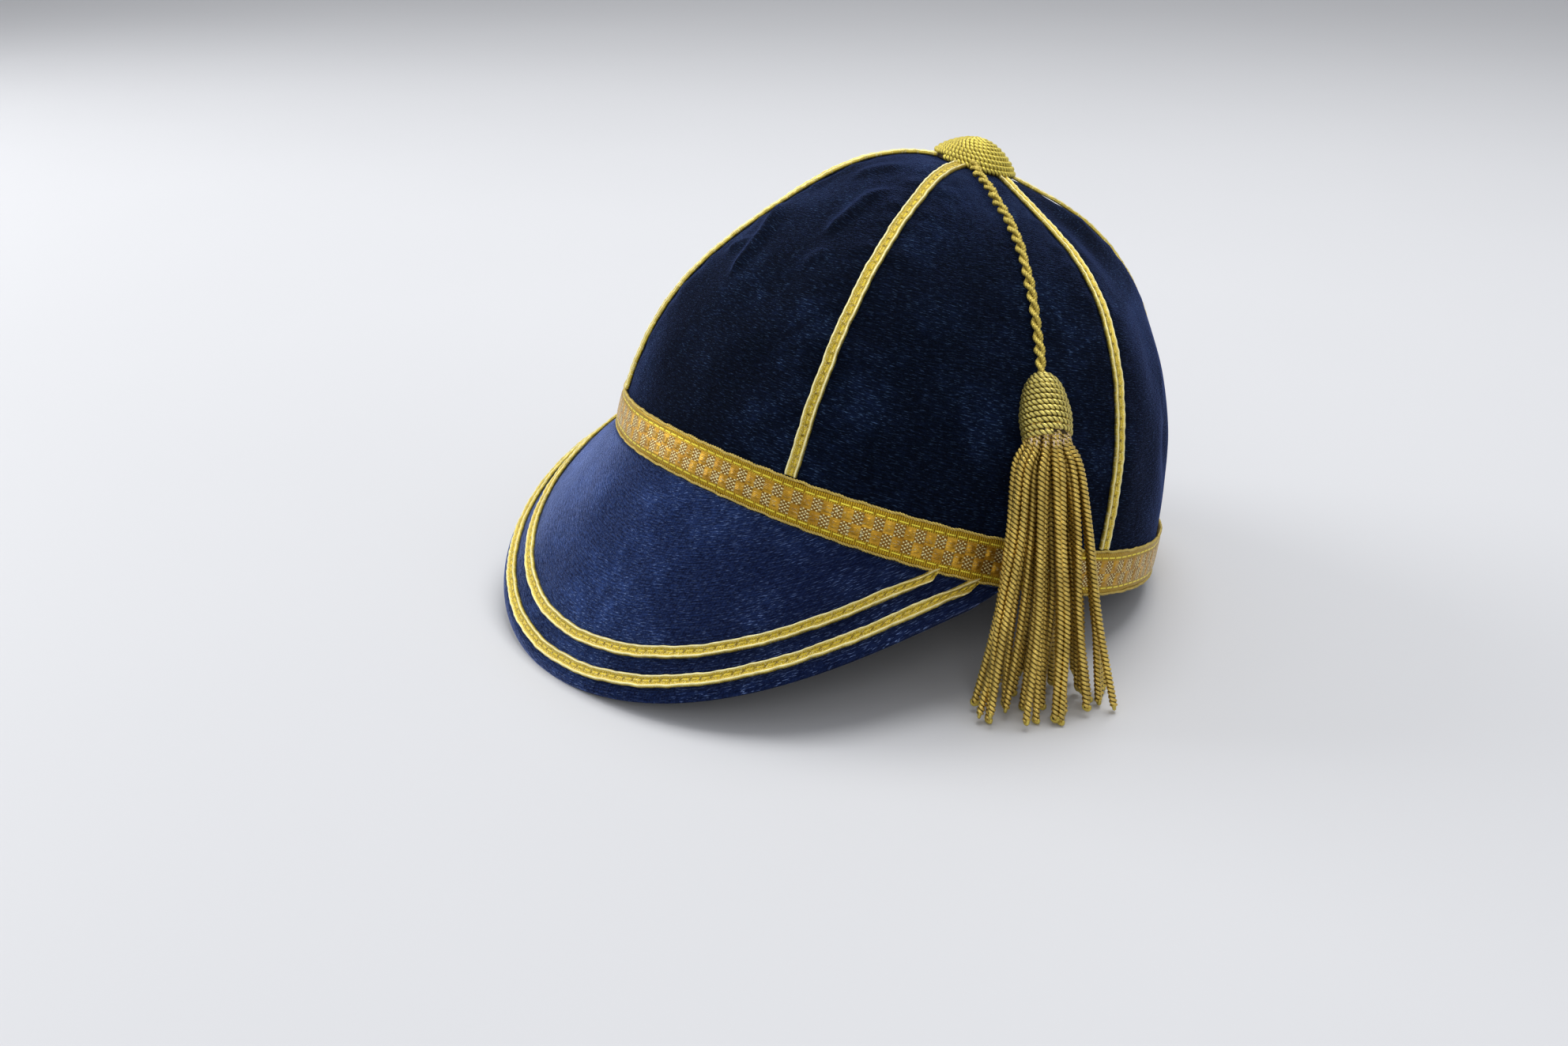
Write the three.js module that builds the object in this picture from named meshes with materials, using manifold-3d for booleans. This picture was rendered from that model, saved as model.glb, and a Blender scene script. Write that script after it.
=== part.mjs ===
// An honours cap: six velvet panels, gold seam braids, a gold lace band, a padded peak with two
// rows of braid, and a wound button from which a twisted cord carries a bullion tassel.
//
// Millimetres, +Z up. The peak points along -Y and the wearer's left is +X. The cap rests as it would
// by itself, on the back of its rim and on the front edge of its peak, so the crown leans back.
// The crown and what is sewn to it are made upright round the crown's own axis and are then leant
// back together. The peak, the cord and the tassel are made in place.

import * as THREE from 'three';
import { mergeVertices } from 'three/addons/utils/BufferGeometryUtils.js';
import Module from 'manifold-3d';

const wasm = await Module();
wasm.setup();

// Driving sizes
const RIM_GIRTH = 600; // round the outside of the rim
const RIM_RATIO = 1.014; // the rim's length over its width
const TOP_RATIO = 1.033; // the same near the top
const CROWN_HEIGHT = 117.7;
const CROWN_WALL = 2; // velvet on its backing
const SHOULDER = { spread: 1.033, height: 0.584 }; // shares of the rim's radius and the height
const TOP_SPREAD = 0.568; // share of the rim's radius where the top starts to level out
const TOP_DROP = 6; // and how far that is below the top
const PANEL_FLATNESS = 0.026; // how much flatter a panel's middle is than its seams
const TOP_SHIFT = 3.9; // the top sits this far back of the rim's centre
const RIM_SADDLE = 3.7; // the soft rim dips at the left side
const RIGHT_RISE = 1.6; // and rises at the right side, as a share of that
const LEAN = THREE.MathUtils.degToRad(16.3);
const FLOOR_BLOCK = [600, 600, 60]; // cuts off what is flattened
const REST_DEPTH = 0.6; // how much of the cloth is flattened where the cap rests
const PANEL_TIP_RADIUS = 3; // the panels end this far from the crown's middle, under the button
const PANEL_STEPS = [8, 15, 1]; // across, up and through
const SEAM_GAP = 0.3; // between panels, under the braid
const CLEARANCE = 0.3; // between a piece and what it is sewn to
const BAND_CLEARANCE = 0.4; // the same all round the rim, whose facets are flat

const BAND_WIDTH = 14.2;
const BAND_THICKNESS = 1.5;
const BRAID_WIDTH = 4;
const BRAID_HEIGHTS = [0.7, 1.3, 0.85, 1.3, 0.7]; // two cords with a groove between them
const BRAID_STRIPS = BRAID_HEIGHTS.length - 1;
const SEAM_BRAID_STEPS = 13;
const BAND_STEPS = [60, 2, 1];

const BUTTON_RADIUS = 14.8;
const BUTTON_HEIGHT = 10.4;
const BUTTON_SIDES = 24;
const BUTTON_BASE = [0, 0.2, 0.38, 0.57, 0.75, 0.94]; // shares of its radius, along the crown
const BUTTON_CLEARANCE = 0.45; // above the facets of the crown
const BUTTON_DOME = [
  { radius: 1, height: 0.1 },
  { radius: 0.95, height: 0.26 },
  { radius: 0.82, height: 0.47 },
  { radius: 0.62, height: 0.7 },
  { radius: 0.38, height: 0.89 },
  { radius: 0.18, height: 0.98 },
  { radius: 0, height: 1 },
];

const PEAK_HALF_ANGLE = THREE.MathUtils.degToRad(73.8); // where the peak leaves the rim, from the front
const PEAK_FRONT = new THREE.Vector3(0, -135.4, 0.7); // the middle of its front edge, near the floor
const PEAK_ROUNDNESS = { out: 0.7, down: 1.31 }; // exponents of the edge's curve
const PEAK_THICKNESS = 3;
const PEAK_SEAT = 0.5; // how far the middle of its thickness lies inside the crown's surface
const PEAK_ROWS = [0, 0.5, 1.5, 3, 8, 20, 38, 56]; // distances in from the edge, at the middle
const PEAK_EDGE_BLUNTNESS = 0.25; // the edge's thickness over the peak's
const PEAK_TURN = 12; // over this length the peak turns to lie along the rim
const PEAK_END = THREE.MathUtils.degToRad(88); // short of a quarter turn, so that its corners are blunt
const PEAK_STEPS = 36;
const PEAK_BRAID_STEPS = 38;
const PEAK_BRAID_END_GAP = 2.4; // from the rim, along the peak
const PEAK_LEAST_SLANT = 0.15; // where a line runs nearly along the edge
const PEAK_FACET_ROOM = 0.12; // keeps its braids clear of the facets between them
const PEAK_BRAID_INSETS = { outer: 6.1, inner: 15.3 }; // from the edge to each braid's middle

const CORD_RADIUS = 1.7;
const CORD_SIDES = 8;
const CORD_STEPS = 16;
const TASSEL_ANGLE = THREE.MathUtils.degToRad(72); // round the crown, from the front
const HEAD_SIDES = 16;
const HEAD_OUTLINE = [
  { radius: 0, down: 0 },
  { radius: 2.8, down: 0 },
  { radius: 4.6, down: 0.1 },
  { radius: 5.9, down: 0.24 },
  { radius: 7, down: 0.46 },
  { radius: 7.6, down: 0.68 },
  { radius: 7.3, down: 1 },
  { radius: 0, down: 1 },
];
const HEAD_TOP = new THREE.Vector3(81.7, -5.2, 93.0);
const HEAD_BASE = new THREE.Vector3(92.6, -12.2, 77.3);
const FRINGE_TIPS = new THREE.Vector3(111, -26.5, 1.1); // the middle of the tips
const LOCK_COUNT = 12;
const LOCK_RADIUS = 2.6;
const LOCK_SIDES = 6;
const LOCK_STEPS = 6;
// The fringe's sections down its length: share of the way, half its width along the rim and outwards,
// and how far it stands out from the straight way
const FRINGE_SECTIONS = [
  { way: -0.08, width: 4.6, depth: 4.6, out: 0 },
  { way: 0.1, width: 8.6, depth: 5.6, out: 0.8 },
  { way: 0.34, width: 11.3, depth: 5.8, out: 2.4 },
  { way: 0.66, width: 15.4, depth: 7.7, out: 2 },
  { way: 1, width: 19.2, depth: 11, out: 0 },
];

// The seams, from the front round either side, in degrees
const SEAMS = [
  { name: 'front', angle: 29.2 },
  { name: 'side', angle: 93.4 },
  { name: 'back', angle: 151 },
];

// The soft dents of the velvet, and its bulges, whose depth is negative: angle round the crown, height
// as a share, both spreads in mm. The first four are the crown's own slump, over to its left side.
const DENTS = [
  { angle: -27, height: 0.92, across: 40, along: 12.3, depth: -3.8 },
  { angle: -36, height: 0.7, across: 25, along: 24.5, depth: 2.3 },
  { angle: 150, height: 0.84, across: 18, along: 25.4, depth: -2.6 },
  { angle: 100, height: 0.95, across: 27.7, along: 17.9, depth: 3.6 },
  { angle: -14, height: 0.86, across: 16, along: 9, depth: 1.6 },
  { angle: 8, height: 0.72, across: 9, along: 18, depth: 0.9 },
  { angle: 52, height: 0.8, across: 10, along: 16, depth: 1.1 },
  { angle: 118, height: 0.74, across: 12, along: 16, depth: 1.4 },
  { angle: 128, height: 0.36, across: 9, along: 20, depth: 1.2 },
  { angle: 176, height: 0.7, across: 16, along: 14, depth: 1.5 },
  { angle: -122, height: 0.66, across: 12, along: 18, depth: 1.3 },
  { angle: -60, height: 0.82, across: 14, along: 12, depth: 1.2 },
];

const VELVET = { color: 0x10173a, roughness: 0.95, metalness: 0 };
const PEAK_VELVET = { color: 0x1d2c66, roughness: 0.95, metalness: 0 };
const GOLD_BRAID = { color: 0xd8b23a, roughness: 0.45, metalness: 0.6 };
const GOLD_LACE = { color: 0xc4912a, roughness: 0.4, metalness: 0.6 };
const GOLD_CORD = { color: 0xcfae3c, roughness: 0.5, metalness: 0.5 };
const GOLD_BULLION = { color: 0x9c7a2c, roughness: 0.4, metalness: 0.7 };

// The crown's surface
const halfWidth = RIM_GIRTH / (2 * Math.PI) / Math.sqrt((1 + RIM_RATIO ** 2) / 2);
const halfLength = halfWidth * RIM_RATIO;
const profile = [
  [1, 0],
  [SHOULDER.spread, SHOULDER.height * CROWN_HEIGHT],
  [TOP_SPREAD, CROWN_HEIGHT - TOP_DROP],
  [0, CROWN_HEIGHT],
].map(([spread, height]) => new THREE.Vector2(spread, height));
const profileCurve = new THREE.CubicBezierCurve(...profile);
const seamAngles = [...SEAMS.map((seam) => seam.angle), ...SEAMS.map((seam) => 360 - seam.angle).reverse()];
const radians = THREE.MathUtils.degToRad;

function panelShare(angle) {
  const degrees = THREE.MathUtils.euclideanModulo(THREE.MathUtils.radToDeg(angle) - seamAngles[0], 360);
  const starts = seamAngles.map((seam) => seam - seamAngles[0]);
  const index = starts.filter((start) => start <= degrees).length - 1;
  const end = index + 1 < starts.length ? starts[index + 1] : 360;
  return (degrees - starts[index]) / (end - starts[index]);
}

function dentDepth(angle, spread, height) {
  let depth = 0;
  for (const dent of DENTS) {
    const turn = Math.atan2(Math.sin(angle - radians(dent.angle)), Math.cos(angle - radians(dent.angle)));
    const across = (turn * spread * halfWidth) / dent.across;
    const along = (height - dent.height * CROWN_HEIGHT) / dent.along;
    depth += dent.depth * Math.exp(-across * across - along * along);
  }
  return depth;
}

// How the rim rises and dips round the crown, from 1 at the front to 0 at the back
function rimWave(angle) {
  if (Math.sin(angle) < 0) return Math.cos(angle / 2) ** 2 + RIGHT_RISE * Math.sin(angle) ** 2;
  return Math.cos(angle) >= 0 ? Math.cos(2 * angle) : (Math.cos(2 * angle) - 1) / 2;
}

// A point of the crown's outer surface. The angle is 0 at the front and grows towards +X, and t runs
// from 0 at the rim to 1 at the top.
function crownSurface(angle, t) {
  const { x: spread, y: height } = profileCurve.getPoint(t);
  const rise = height / CROWN_HEIGHT;
  const flatness = PANEL_FLATNESS * Math.sin(Math.PI * panelShare(angle)) ** 2 * Math.min(3 * rise, 1);
  const slope = profileCurve.getTangent(t).multiply(new THREE.Vector2(halfWidth, 1)).normalize();
  const dent = dentDepth(angle, spread, height);
  const radius = halfWidth * spread * (1 - flatness) - dent * slope.y;
  const ratio = RIM_RATIO + (TOP_RATIO - RIM_RATIO) * rise;
  return new THREE.Vector3(
    radius * Math.sin(angle),
    TOP_SHIFT * rise - ratio * radius * Math.cos(angle),
    height + RIM_SADDLE * rimWave(angle) * (1 - rise) ** 2 + dent * slope.x,
  );
}

function crownNormal(angle, t) {
  const step = 0.001;
  const low = Math.max(t - step, 0);
  const across = crownSurface(angle + step, t).sub(crownSurface(angle - step, t));
  const up = crownSurface(angle, t + step).sub(crownSurface(angle, low));
  return across.cross(up).normalize();
}

function crownPoint(angle, t, outwards) {
  return crownSurface(angle, t).addScaledVector(crownNormal(angle, t), outwards);
}

function solveRising(value, goal) {
  let low = 0;
  let high = 1;
  for (let i = 0; i < 40; i += 1) {
    const middle = (low + high) / 2;
    if (value(middle) < goal) low = middle;
    else high = middle;
  }
  return low;
}

const tAtHeight = (height) => solveRising((t) => profileCurve.getPoint(t).y, height);
const tAtRadius = (radius) => solveRising((t) => -profileCurve.getPoint(t).x * halfWidth, -radius);
const radiusAt = (t) => profileCurve.getPoint(t).x * halfWidth;

// The same geometry with the vertices that its faces share merged
function merged(geometry) {
  const bare = geometry.clone();
  bare.deleteAttribute('normal');
  bare.deleteAttribute('uv');
  return mergeVertices(bare, 1e-4);
}

// A closed body from a block: place gives each point of the block, whose sides run from -1 to 1, its
// position in the part. The last side points outwards.
function bentBlock(segments, place) {
  const geometry = merged(new THREE.BoxGeometry(2, 2, 2, ...segments));
  const positions = geometry.attributes.position;
  for (let i = 0; i < positions.count; i += 1) {
    const at = place(positions.getX(i), positions.getY(i), positions.getZ(i));
    positions.setXYZ(i, at.x, at.y, at.z);
  }
  return geometry;
}

function mesh(name, geometry, finish) {
  const node = new THREE.Mesh(geometry, new THREE.MeshStandardMaterial(finish));
  node.name = name;
  return node;
}

function toSolid(geometry, matrix = new THREE.Matrix4()) {
  const shared = merged(geometry).applyMatrix4(matrix);
  const vertProperties = new Float32Array(shared.attributes.position.array);
  const triVerts = new Uint32Array(shared.index.array);
  return new wasm.Manifold(new wasm.Mesh({ numProp: 3, vertProperties, triVerts }));
}

function toGeometry(solid) {
  const { vertProperties, triVerts } = solid.getMesh();
  const geometry = new THREE.BufferGeometry();
  geometry.setAttribute('position', new THREE.Float32BufferAttribute(vertProperties, 3));
  geometry.setIndex(new THREE.Uint32BufferAttribute(triVerts, 1));
  return geometry;
}

// The leant crown turns about the back of its rim, a little into the floor, which flattens the cloth
const crown = new THREE.Group();
crown.rotation.x = -LEAN;
const pivot = new THREE.Vector3(0, halfLength, 0);
crown.position.copy(pivot).sub(pivot.clone().applyEuler(crown.rotation));
crown.position.z -= REST_DEPTH;
crown.updateMatrixWorld(true);

const floor = new THREE.BoxGeometry(...FLOOR_BLOCK).translate(0, 0, -FLOOR_BLOCK[2] / 2);

function flattenedOnFloor(geometry, groupMatrix) {
  const toLocal = groupMatrix.clone().invert();
  return toGeometry(toSolid(geometry).subtract(toSolid(floor, toLocal)));
}

// Crown panels
const panelTop = tAtRadius(PANEL_TIP_RADIUS);

function crownPanel(startDegrees, endDegrees) {
  return bentBlock(PANEL_STEPS, (across, up, outwards) => {
    const t = ((up + 1) / 2) * panelTop;
    const halfGap = SEAM_GAP / 2 / radiusAt(t);
    const start = radians(startDegrees) + halfGap;
    const end = radians(endDegrees) - halfGap;
    const angle = THREE.MathUtils.lerp(start, end, (across + 1) / 2);
    return crownPoint(angle, t, (CROWN_WALL * (outwards - 1)) / 2);
  });
}

const [frontSeam, sideSeam, backSeam] = SEAMS.map((seam) => seam.angle);
const panels = [
  { name: 'crown_panel_front', start: -frontSeam, end: frontSeam },
  { name: 'crown_panel_left_front', start: frontSeam, end: sideSeam },
  { name: 'crown_panel_left_back', start: sideSeam, end: backSeam },
  { name: 'crown_panel_back', start: backSeam, end: 360 - backSeam },
  { name: 'crown_panel_right_back', start: -backSeam, end: -sideSeam },
  { name: 'crown_panel_right_front', start: -sideSeam, end: -frontSeam },
];
for (const { name, start, end } of panels) {
  let geometry = crownPanel(start, end);
  if (name === 'crown_panel_back') geometry = flattenedOnFloor(geometry, crown.matrixWorld);
  crown.add(mesh(name, geometry, VELVET));
}

// The flat braid: across runs from -1 to 1 over its width, lift is -1 on its back and 1 on its face
function braidHeight(across, lift) {
  const index = Math.round(((across + 1) / 2) * BRAID_STRIPS);
  return lift < 0 ? CLEARANCE : CLEARANCE + BRAID_HEIGHTS[index];
}

// Seam braids, from the band's upper edge to the button
const bandTop = tAtHeight(BAND_WIDTH);
const seamBottom = tAtHeight(BAND_WIDTH + CLEARANCE);
const seamTop = tAtRadius(BUTTON_RADIUS + CLEARANCE);

function seamBraid(degrees) {
  return bentBlock([BRAID_STRIPS, SEAM_BRAID_STEPS, 1], (across, up, lift) => {
    const t = THREE.MathUtils.lerp(seamBottom, seamTop, (up + 1) / 2);
    const angle = radians(degrees) + (across * BRAID_WIDTH) / 2 / radiusAt(t);
    return crownPoint(angle, t, braidHeight(across, lift));
  });
}

for (const { name, angle } of SEAMS) {
  crown.add(mesh(`seam_braid_left_${name}`, seamBraid(angle), GOLD_BRAID));
  crown.add(mesh(`seam_braid_right_${name}`, seamBraid(-angle), GOLD_BRAID));
}

// The lace band round the rim, with its ends meeting at the back
function crownBand() {
  const halfTurn = Math.PI - SEAM_GAP / 2 / halfWidth;
  return bentBlock(BAND_STEPS, (across, up, outwards) => {
    const t = (bandTop * (up + 1)) / 2;
    return crownPoint(across * halfTurn, t, BAND_CLEARANCE + (BAND_THICKNESS * (outwards + 1)) / 2);
  });
}

crown.add(mesh('crown_band', flattenedOnFloor(crownBand(), crown.matrixWorld), GOLD_LACE));

// The button, whose base follows the top of the crown
function crownButton() {
  const base = BUTTON_BASE.map((share) => {
    const radius = share * BUTTON_RADIUS;
    const t = share === 0 ? 1 : tAtRadius(radius);
    return new THREE.Vector2(radius, profileCurve.getPoint(t).y + BUTTON_CLEARANCE);
  });
  const edgeHeight = base[base.length - 1].y;
  const dome = BUTTON_DOME.map(
    ({ radius, height }) => new THREE.Vector2(radius * BUTTON_RADIUS, edgeHeight + height * BUTTON_HEIGHT),
  );
  const geometry = new THREE.LatheGeometry([...base, ...dome], BUTTON_SIDES).rotateX(Math.PI / 2);
  const positions = geometry.attributes.position;
  for (let i = 0; i < positions.count; i += 1) {
    const radius = Math.hypot(positions.getX(i), positions.getY(i));
    const angle = Math.atan2(positions.getX(i), -positions.getY(i));
    const t = radius < PANEL_TIP_RADIUS ? panelTop : tAtRadius(radius);
    const sunk = profileCurve.getPoint(t).y - crownSurface(angle, t).z; // the slump under the button
    positions.setZ(i, positions.getZ(i) - sunk);
  }
  return geometry.translate(0, TOP_SHIFT, 0);
}

crown.add(mesh('crown_button', crownButton(), GOLD_CORD));

// The peak: straight lines run down from the rim to the edge's curve
const rimNormal = new THREE.Matrix3().getNormalMatrix(crown.matrixWorld);

// Where the upper side of the peak meets the rim, under the band
function rimSeat(angle) {
  const outwards = crownNormal(angle, 0);
  const point = crownSurface(angle, 0).addScaledVector(outwards, PEAK_THICKNESS / 2 - PEAK_SEAT);
  point.z -= CLEARANCE;
  point.applyMatrix4(crown.matrixWorld);
  return { point, outwards: outwards.applyMatrix3(rimNormal).normalize() };
}

const peakCorners = { left: rimSeat(PEAK_HALF_ANGLE).point, right: rimSeat(-PEAK_HALF_ANGLE).point };

// The edge's curve: a quarter turn to either side runs from the front to the corners at the rim
function peakEdge(turn) {
  const corner = turn < 0 ? peakCorners.right : peakCorners.left;
  const front = Math.cos(turn);
  return new THREE.Vector3(
    Math.abs(corner.x) * Math.sin(turn),
    THREE.MathUtils.lerp(corner.y, PEAK_FRONT.y, front ** PEAK_ROUNDNESS.out),
    THREE.MathUtils.lerp(corner.z, PEAK_FRONT.z, front ** PEAK_ROUNDNESS.down),
  );
}

function peakRuling(turn) {
  const rim = rimSeat((turn / (Math.PI / 2)) * PEAK_HALF_ANGLE);
  const edge = peakEdge(turn);
  const step = 0.002;
  const along = peakEdge(turn + step).sub(peakEdge(turn - step)).normalize();
  const inwards = rim.point.clone().sub(edge);
  const length = inwards.length();
  inwards.normalize();
  const slant = Math.sqrt(1 - inwards.dot(along) ** 2); // how squarely the line meets the edge
  const normal = along.clone().cross(inwards).normalize();
  return { edge, inwards, length, slant: Math.max(slant, PEAK_LEAST_SLANT), normal, rimOutwards: rim.outwards };
}

// A point that far in along the ruling, lifted from the peak's upper surface along its normal
function peakPoint({ edge, inwards, length, normal, rimOutwards }, distance, lift) {
  const nearRim = THREE.MathUtils.smoothstep(distance, length - PEAK_TURN, length);
  const direction = normal.clone().lerp(rimOutwards, nearRim).normalize();
  return edge.clone().addScaledVector(inwards, distance).addScaledVector(direction, lift);
}

function peakHalfThickness(distance) {
  const share = Math.min(distance / PEAK_THICKNESS, 1);
  return (PEAK_THICKNESS / 2) * Math.max(Math.sqrt(1 - (1 - share) ** 2), PEAK_EDGE_BLUNTNESS);
}

// Steps along the edge, closer towards its ends
const turnAt = (share, most) => most * (0.5 * share + 0.5 * Math.sin((share * Math.PI) / 2));

function peak() {
  const lastRow = PEAK_ROWS.length;
  return bentBlock([PEAK_STEPS, lastRow, 1], (across, up, lift) => {
    const ruling = peakRuling(turnAt(across, PEAK_END));
    const row = Math.round(((up + 1) / 2) * lastRow);
    const middleLength = peakRuling(0).length;
    const inset = row === lastRow ? middleLength : PEAK_ROWS[row];
    const distance = (inset / middleLength) * ruling.length;
    const rounding = row === lastRow ? PEAK_THICKNESS : inset;
    return peakPoint(ruling, distance, lift * peakHalfThickness(rounding) - PEAK_THICKNESS / 2);
  });
}

const peakMesh = mesh('peak', flattenedOnFloor(peak(), new THREE.Matrix4()), PEAK_VELVET);

// The peak's braids keep their distance to the edge and end at the band
function peakBraid(inset) {
  return bentBlock([PEAK_BRAID_STEPS, BRAID_STRIPS, 1], (along, across, lift) => {
    const distance = inset + (across * BRAID_WIDTH) / 2;
    const room = (share) => {
      const { length, slant } = peakRuling(share * PEAK_END);
      return distance / slant - length + PEAK_BRAID_END_GAP;
    };
    const most = solveRising(room, 0) * PEAK_END;
    const ruling = peakRuling(turnAt(along, most));
    const lifted = PEAK_FACET_ROOM + braidHeight(across, lift);
    return peakPoint(ruling, distance / ruling.slant, lifted);
  });
}

const peakBraids = Object.entries(PEAK_BRAID_INSETS).map(([name, inset]) =>
  mesh(`peak_braid_${name}`, peakBraid(inset), GOLD_BRAID),
);

// The cord leaves from under the button's edge and lies on the crown
const cordRoute = [
  [11.1, 29.6, 140.3],
  [15.9, 27.0, 139.3],
  [19.8, 25.5, 138.2],
  [27.3, 22.6, 135.6],
  [33.0, 20.2, 133.3],
  [39.3, 18.1, 130.5],
  [46.4, 15.1, 126.9],
  [52.4, 12.4, 123.1],
  [59.0, 8.9, 118.0],
  [63.7, 6.4, 113.5],
  [67.8, 4.2, 109.0],
  [71.5, 2.0, 104.3],
  [75.2, -0.3, 99.8],
  [78.5, -2.7, 96.7],
  [81.5, -5.1, 93.3],
].map((at) => new THREE.Vector3(...at));

function tube(path, radius, sides, steps) {
  const section = new THREE.Shape();
  for (let i = 0; i < sides; i += 1) {
    const turn = (i / sides) * 2 * Math.PI;
    if (i === 0) section.moveTo(radius, 0);
    else section.lineTo(radius * Math.cos(turn), radius * Math.sin(turn));
  }
  section.closePath();
  const curve = new THREE.CatmullRomCurve3(path);
  const options = { steps, bevelEnabled: false, extrudePath: curve };
  return merged(new THREE.ExtrudeGeometry(section, options));
}

const cord = mesh('tassel_cord', tube(cordRoute, CORD_RADIUS, CORD_SIDES, CORD_STEPS), GOLD_CORD);

// The tassel: a wound head shaped like an egg, and strands in locks
const headAxis = HEAD_BASE.clone().sub(HEAD_TOP);

function tasselHead() {
  const length = headAxis.length();
  const outline = HEAD_OUTLINE.map(({ radius, down }) => new THREE.Vector2(radius, -down * length));
  const geometry = new THREE.LatheGeometry(outline.reverse(), HEAD_SIDES);
  const down = headAxis.clone().normalize();
  const turn = new THREE.Quaternion().setFromUnitVectors(new THREE.Vector3(0, -1, 0), down);
  return geometry.applyQuaternion(turn).translate(HEAD_TOP.x, HEAD_TOP.y, HEAD_TOP.z);
}

const outwardsAtTassel = new THREE.Vector3(Math.sin(TASSEL_ANGLE), -Math.cos(TASSEL_ANGLE), 0);
const alongRimAtTassel = new THREE.Vector3(Math.cos(TASSEL_ANGLE), Math.sin(TASSEL_ANGLE), 0);

function fringeLock(index) {
  const turn = (index / LOCK_COUNT) * 2 * Math.PI;
  const path = FRINGE_SECTIONS.map(({ way, width, depth, out }) =>
    HEAD_BASE.clone()
      .lerp(FRINGE_TIPS, way)
      .addScaledVector(alongRimAtTassel, width * Math.cos(turn))
      .addScaledVector(outwardsAtTassel, depth * Math.sin(turn) + out),
  );
  return tube(path, LOCK_RADIUS, LOCK_SIDES, LOCK_STEPS);
}

function tassel() {
  let solid = toSolid(tasselHead());
  for (let index = 0; index < LOCK_COUNT; index += 1) solid = solid.add(toSolid(fringeLock(index)));
  return toGeometry(solid);
}

const tasselMesh = mesh('tassel', tassel(), GOLD_BULLION);

// The origin is on the floor, under the middle of the cap without its cord and tassel
const cap = new THREE.Group();
cap.add(crown, peakMesh, ...peakBraids);
const bounds = new THREE.Box3().setFromObject(cap, true);
const part = new THREE.Group();
part.add(cap, cord, tasselMesh);
part.position.y = -(bounds.min.y + bounds.max.y) / 2;

export default part;
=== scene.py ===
import math

import bpy
import numpy as np
from mathutils import Matrix, Vector


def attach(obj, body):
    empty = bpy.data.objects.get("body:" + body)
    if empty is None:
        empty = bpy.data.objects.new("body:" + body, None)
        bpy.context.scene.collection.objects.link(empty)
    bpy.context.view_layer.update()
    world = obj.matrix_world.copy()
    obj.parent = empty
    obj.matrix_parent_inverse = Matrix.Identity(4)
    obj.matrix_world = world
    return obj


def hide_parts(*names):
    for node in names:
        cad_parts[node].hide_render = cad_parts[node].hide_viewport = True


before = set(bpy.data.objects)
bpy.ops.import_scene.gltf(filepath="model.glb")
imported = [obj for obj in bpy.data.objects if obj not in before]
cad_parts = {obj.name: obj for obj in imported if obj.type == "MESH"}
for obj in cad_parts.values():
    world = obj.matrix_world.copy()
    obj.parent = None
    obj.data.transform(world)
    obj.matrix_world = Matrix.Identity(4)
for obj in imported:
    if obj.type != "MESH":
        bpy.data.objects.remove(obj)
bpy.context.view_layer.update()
rng = np.random.default_rng(7)

MM = 0.001
PART_SHIFT = 15.627  # mm along Y from the frame in which the cap is drawn to the part's frame
LEAST_HEIGHT = 0.02  # mm, every point stays this far above the floor

# The camera
CAMERA_AZIMUTH = math.radians(53.15)
CAMERA_ELEVATION = math.radians(23.335)
PHOTO_WIDTH = 1984  # pixels
FOCAL_LENGTH = 2100 / PHOTO_WIDTH  # in picture widths
CAMERA_OFFSETS = {"back": 0.5959, "right": -0.03208, "up": 0.01403}  # m
SENSOR_WIDTH = 36  # mm


def linked(name, data):
    """A new object with that data, in the scene."""
    thing = bpy.data.objects.new(name, data)
    bpy.context.collection.objects.link(thing)
    return thing


def make_camera():
    back = Vector((
        math.sin(CAMERA_AZIMUTH) * math.cos(CAMERA_ELEVATION),
        -math.cos(CAMERA_AZIMUTH) * math.cos(CAMERA_ELEVATION),
        math.sin(CAMERA_ELEVATION),
    ))
    right = Vector((math.cos(CAMERA_AZIMUTH), math.sin(CAMERA_AZIMUTH), 0))
    up = back.cross(right)
    data = bpy.data.cameras.new("camera")
    data.sensor_fit = "HORIZONTAL"
    data.sensor_width = SENSOR_WIDTH
    data.lens = SENSOR_WIDTH * FOCAL_LENGTH
    data.clip_start = 0.01
    camera = linked("camera", data)
    offset = back * CAMERA_OFFSETS["back"] + right * CAMERA_OFFSETS["right"] + up * CAMERA_OFFSETS["up"]
    place = offset + Vector((0, PART_SHIFT * MM, 0))
    turn = Matrix((right, up, back)).transposed().to_4x4()
    camera.matrix_world = Matrix.Translation(place) @ turn
    bpy.context.scene.camera = camera


make_camera()


# Meshes
TIP_REACH, LAST_RING_REACH, LAST_RING_SIZE = 0.6, 0.4, 0.6  # a tube's end, in shares of its radius
SPLINE_STEPS = 40  # between two points of a route


def unit(v):
    return v / np.maximum(np.linalg.norm(v, axis=-1, keepdims=True), 1e-12)


def smoothstep(x, low, high):
    share = np.clip((x - low) / (high - low), 0, 1)
    return share * share * (3 - 2 * share)


def to_part(points):
    """From the drawn frame, in mm, to the part's frame, in metres, kept above the floor."""
    points = np.array(points, float)
    points[..., 1] += PART_SHIFT
    points[..., 2] = np.maximum(points[..., 2], LEAST_HEIGHT)
    return points * MM


def lengths_along(path):
    """The length of a path up to each of its points."""
    return np.concatenate([[0], np.cumsum(np.linalg.norm(np.diff(path, axis=0), axis=1))])


def evenly(path, count):
    """The same path with that many points at even steps."""
    lengths = lengths_along(path)
    goals = np.linspace(0, lengths[-1], count)
    return np.stack([np.interp(goals, lengths, path[:, k]) for k in range(path.shape[1])], 1)


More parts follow.
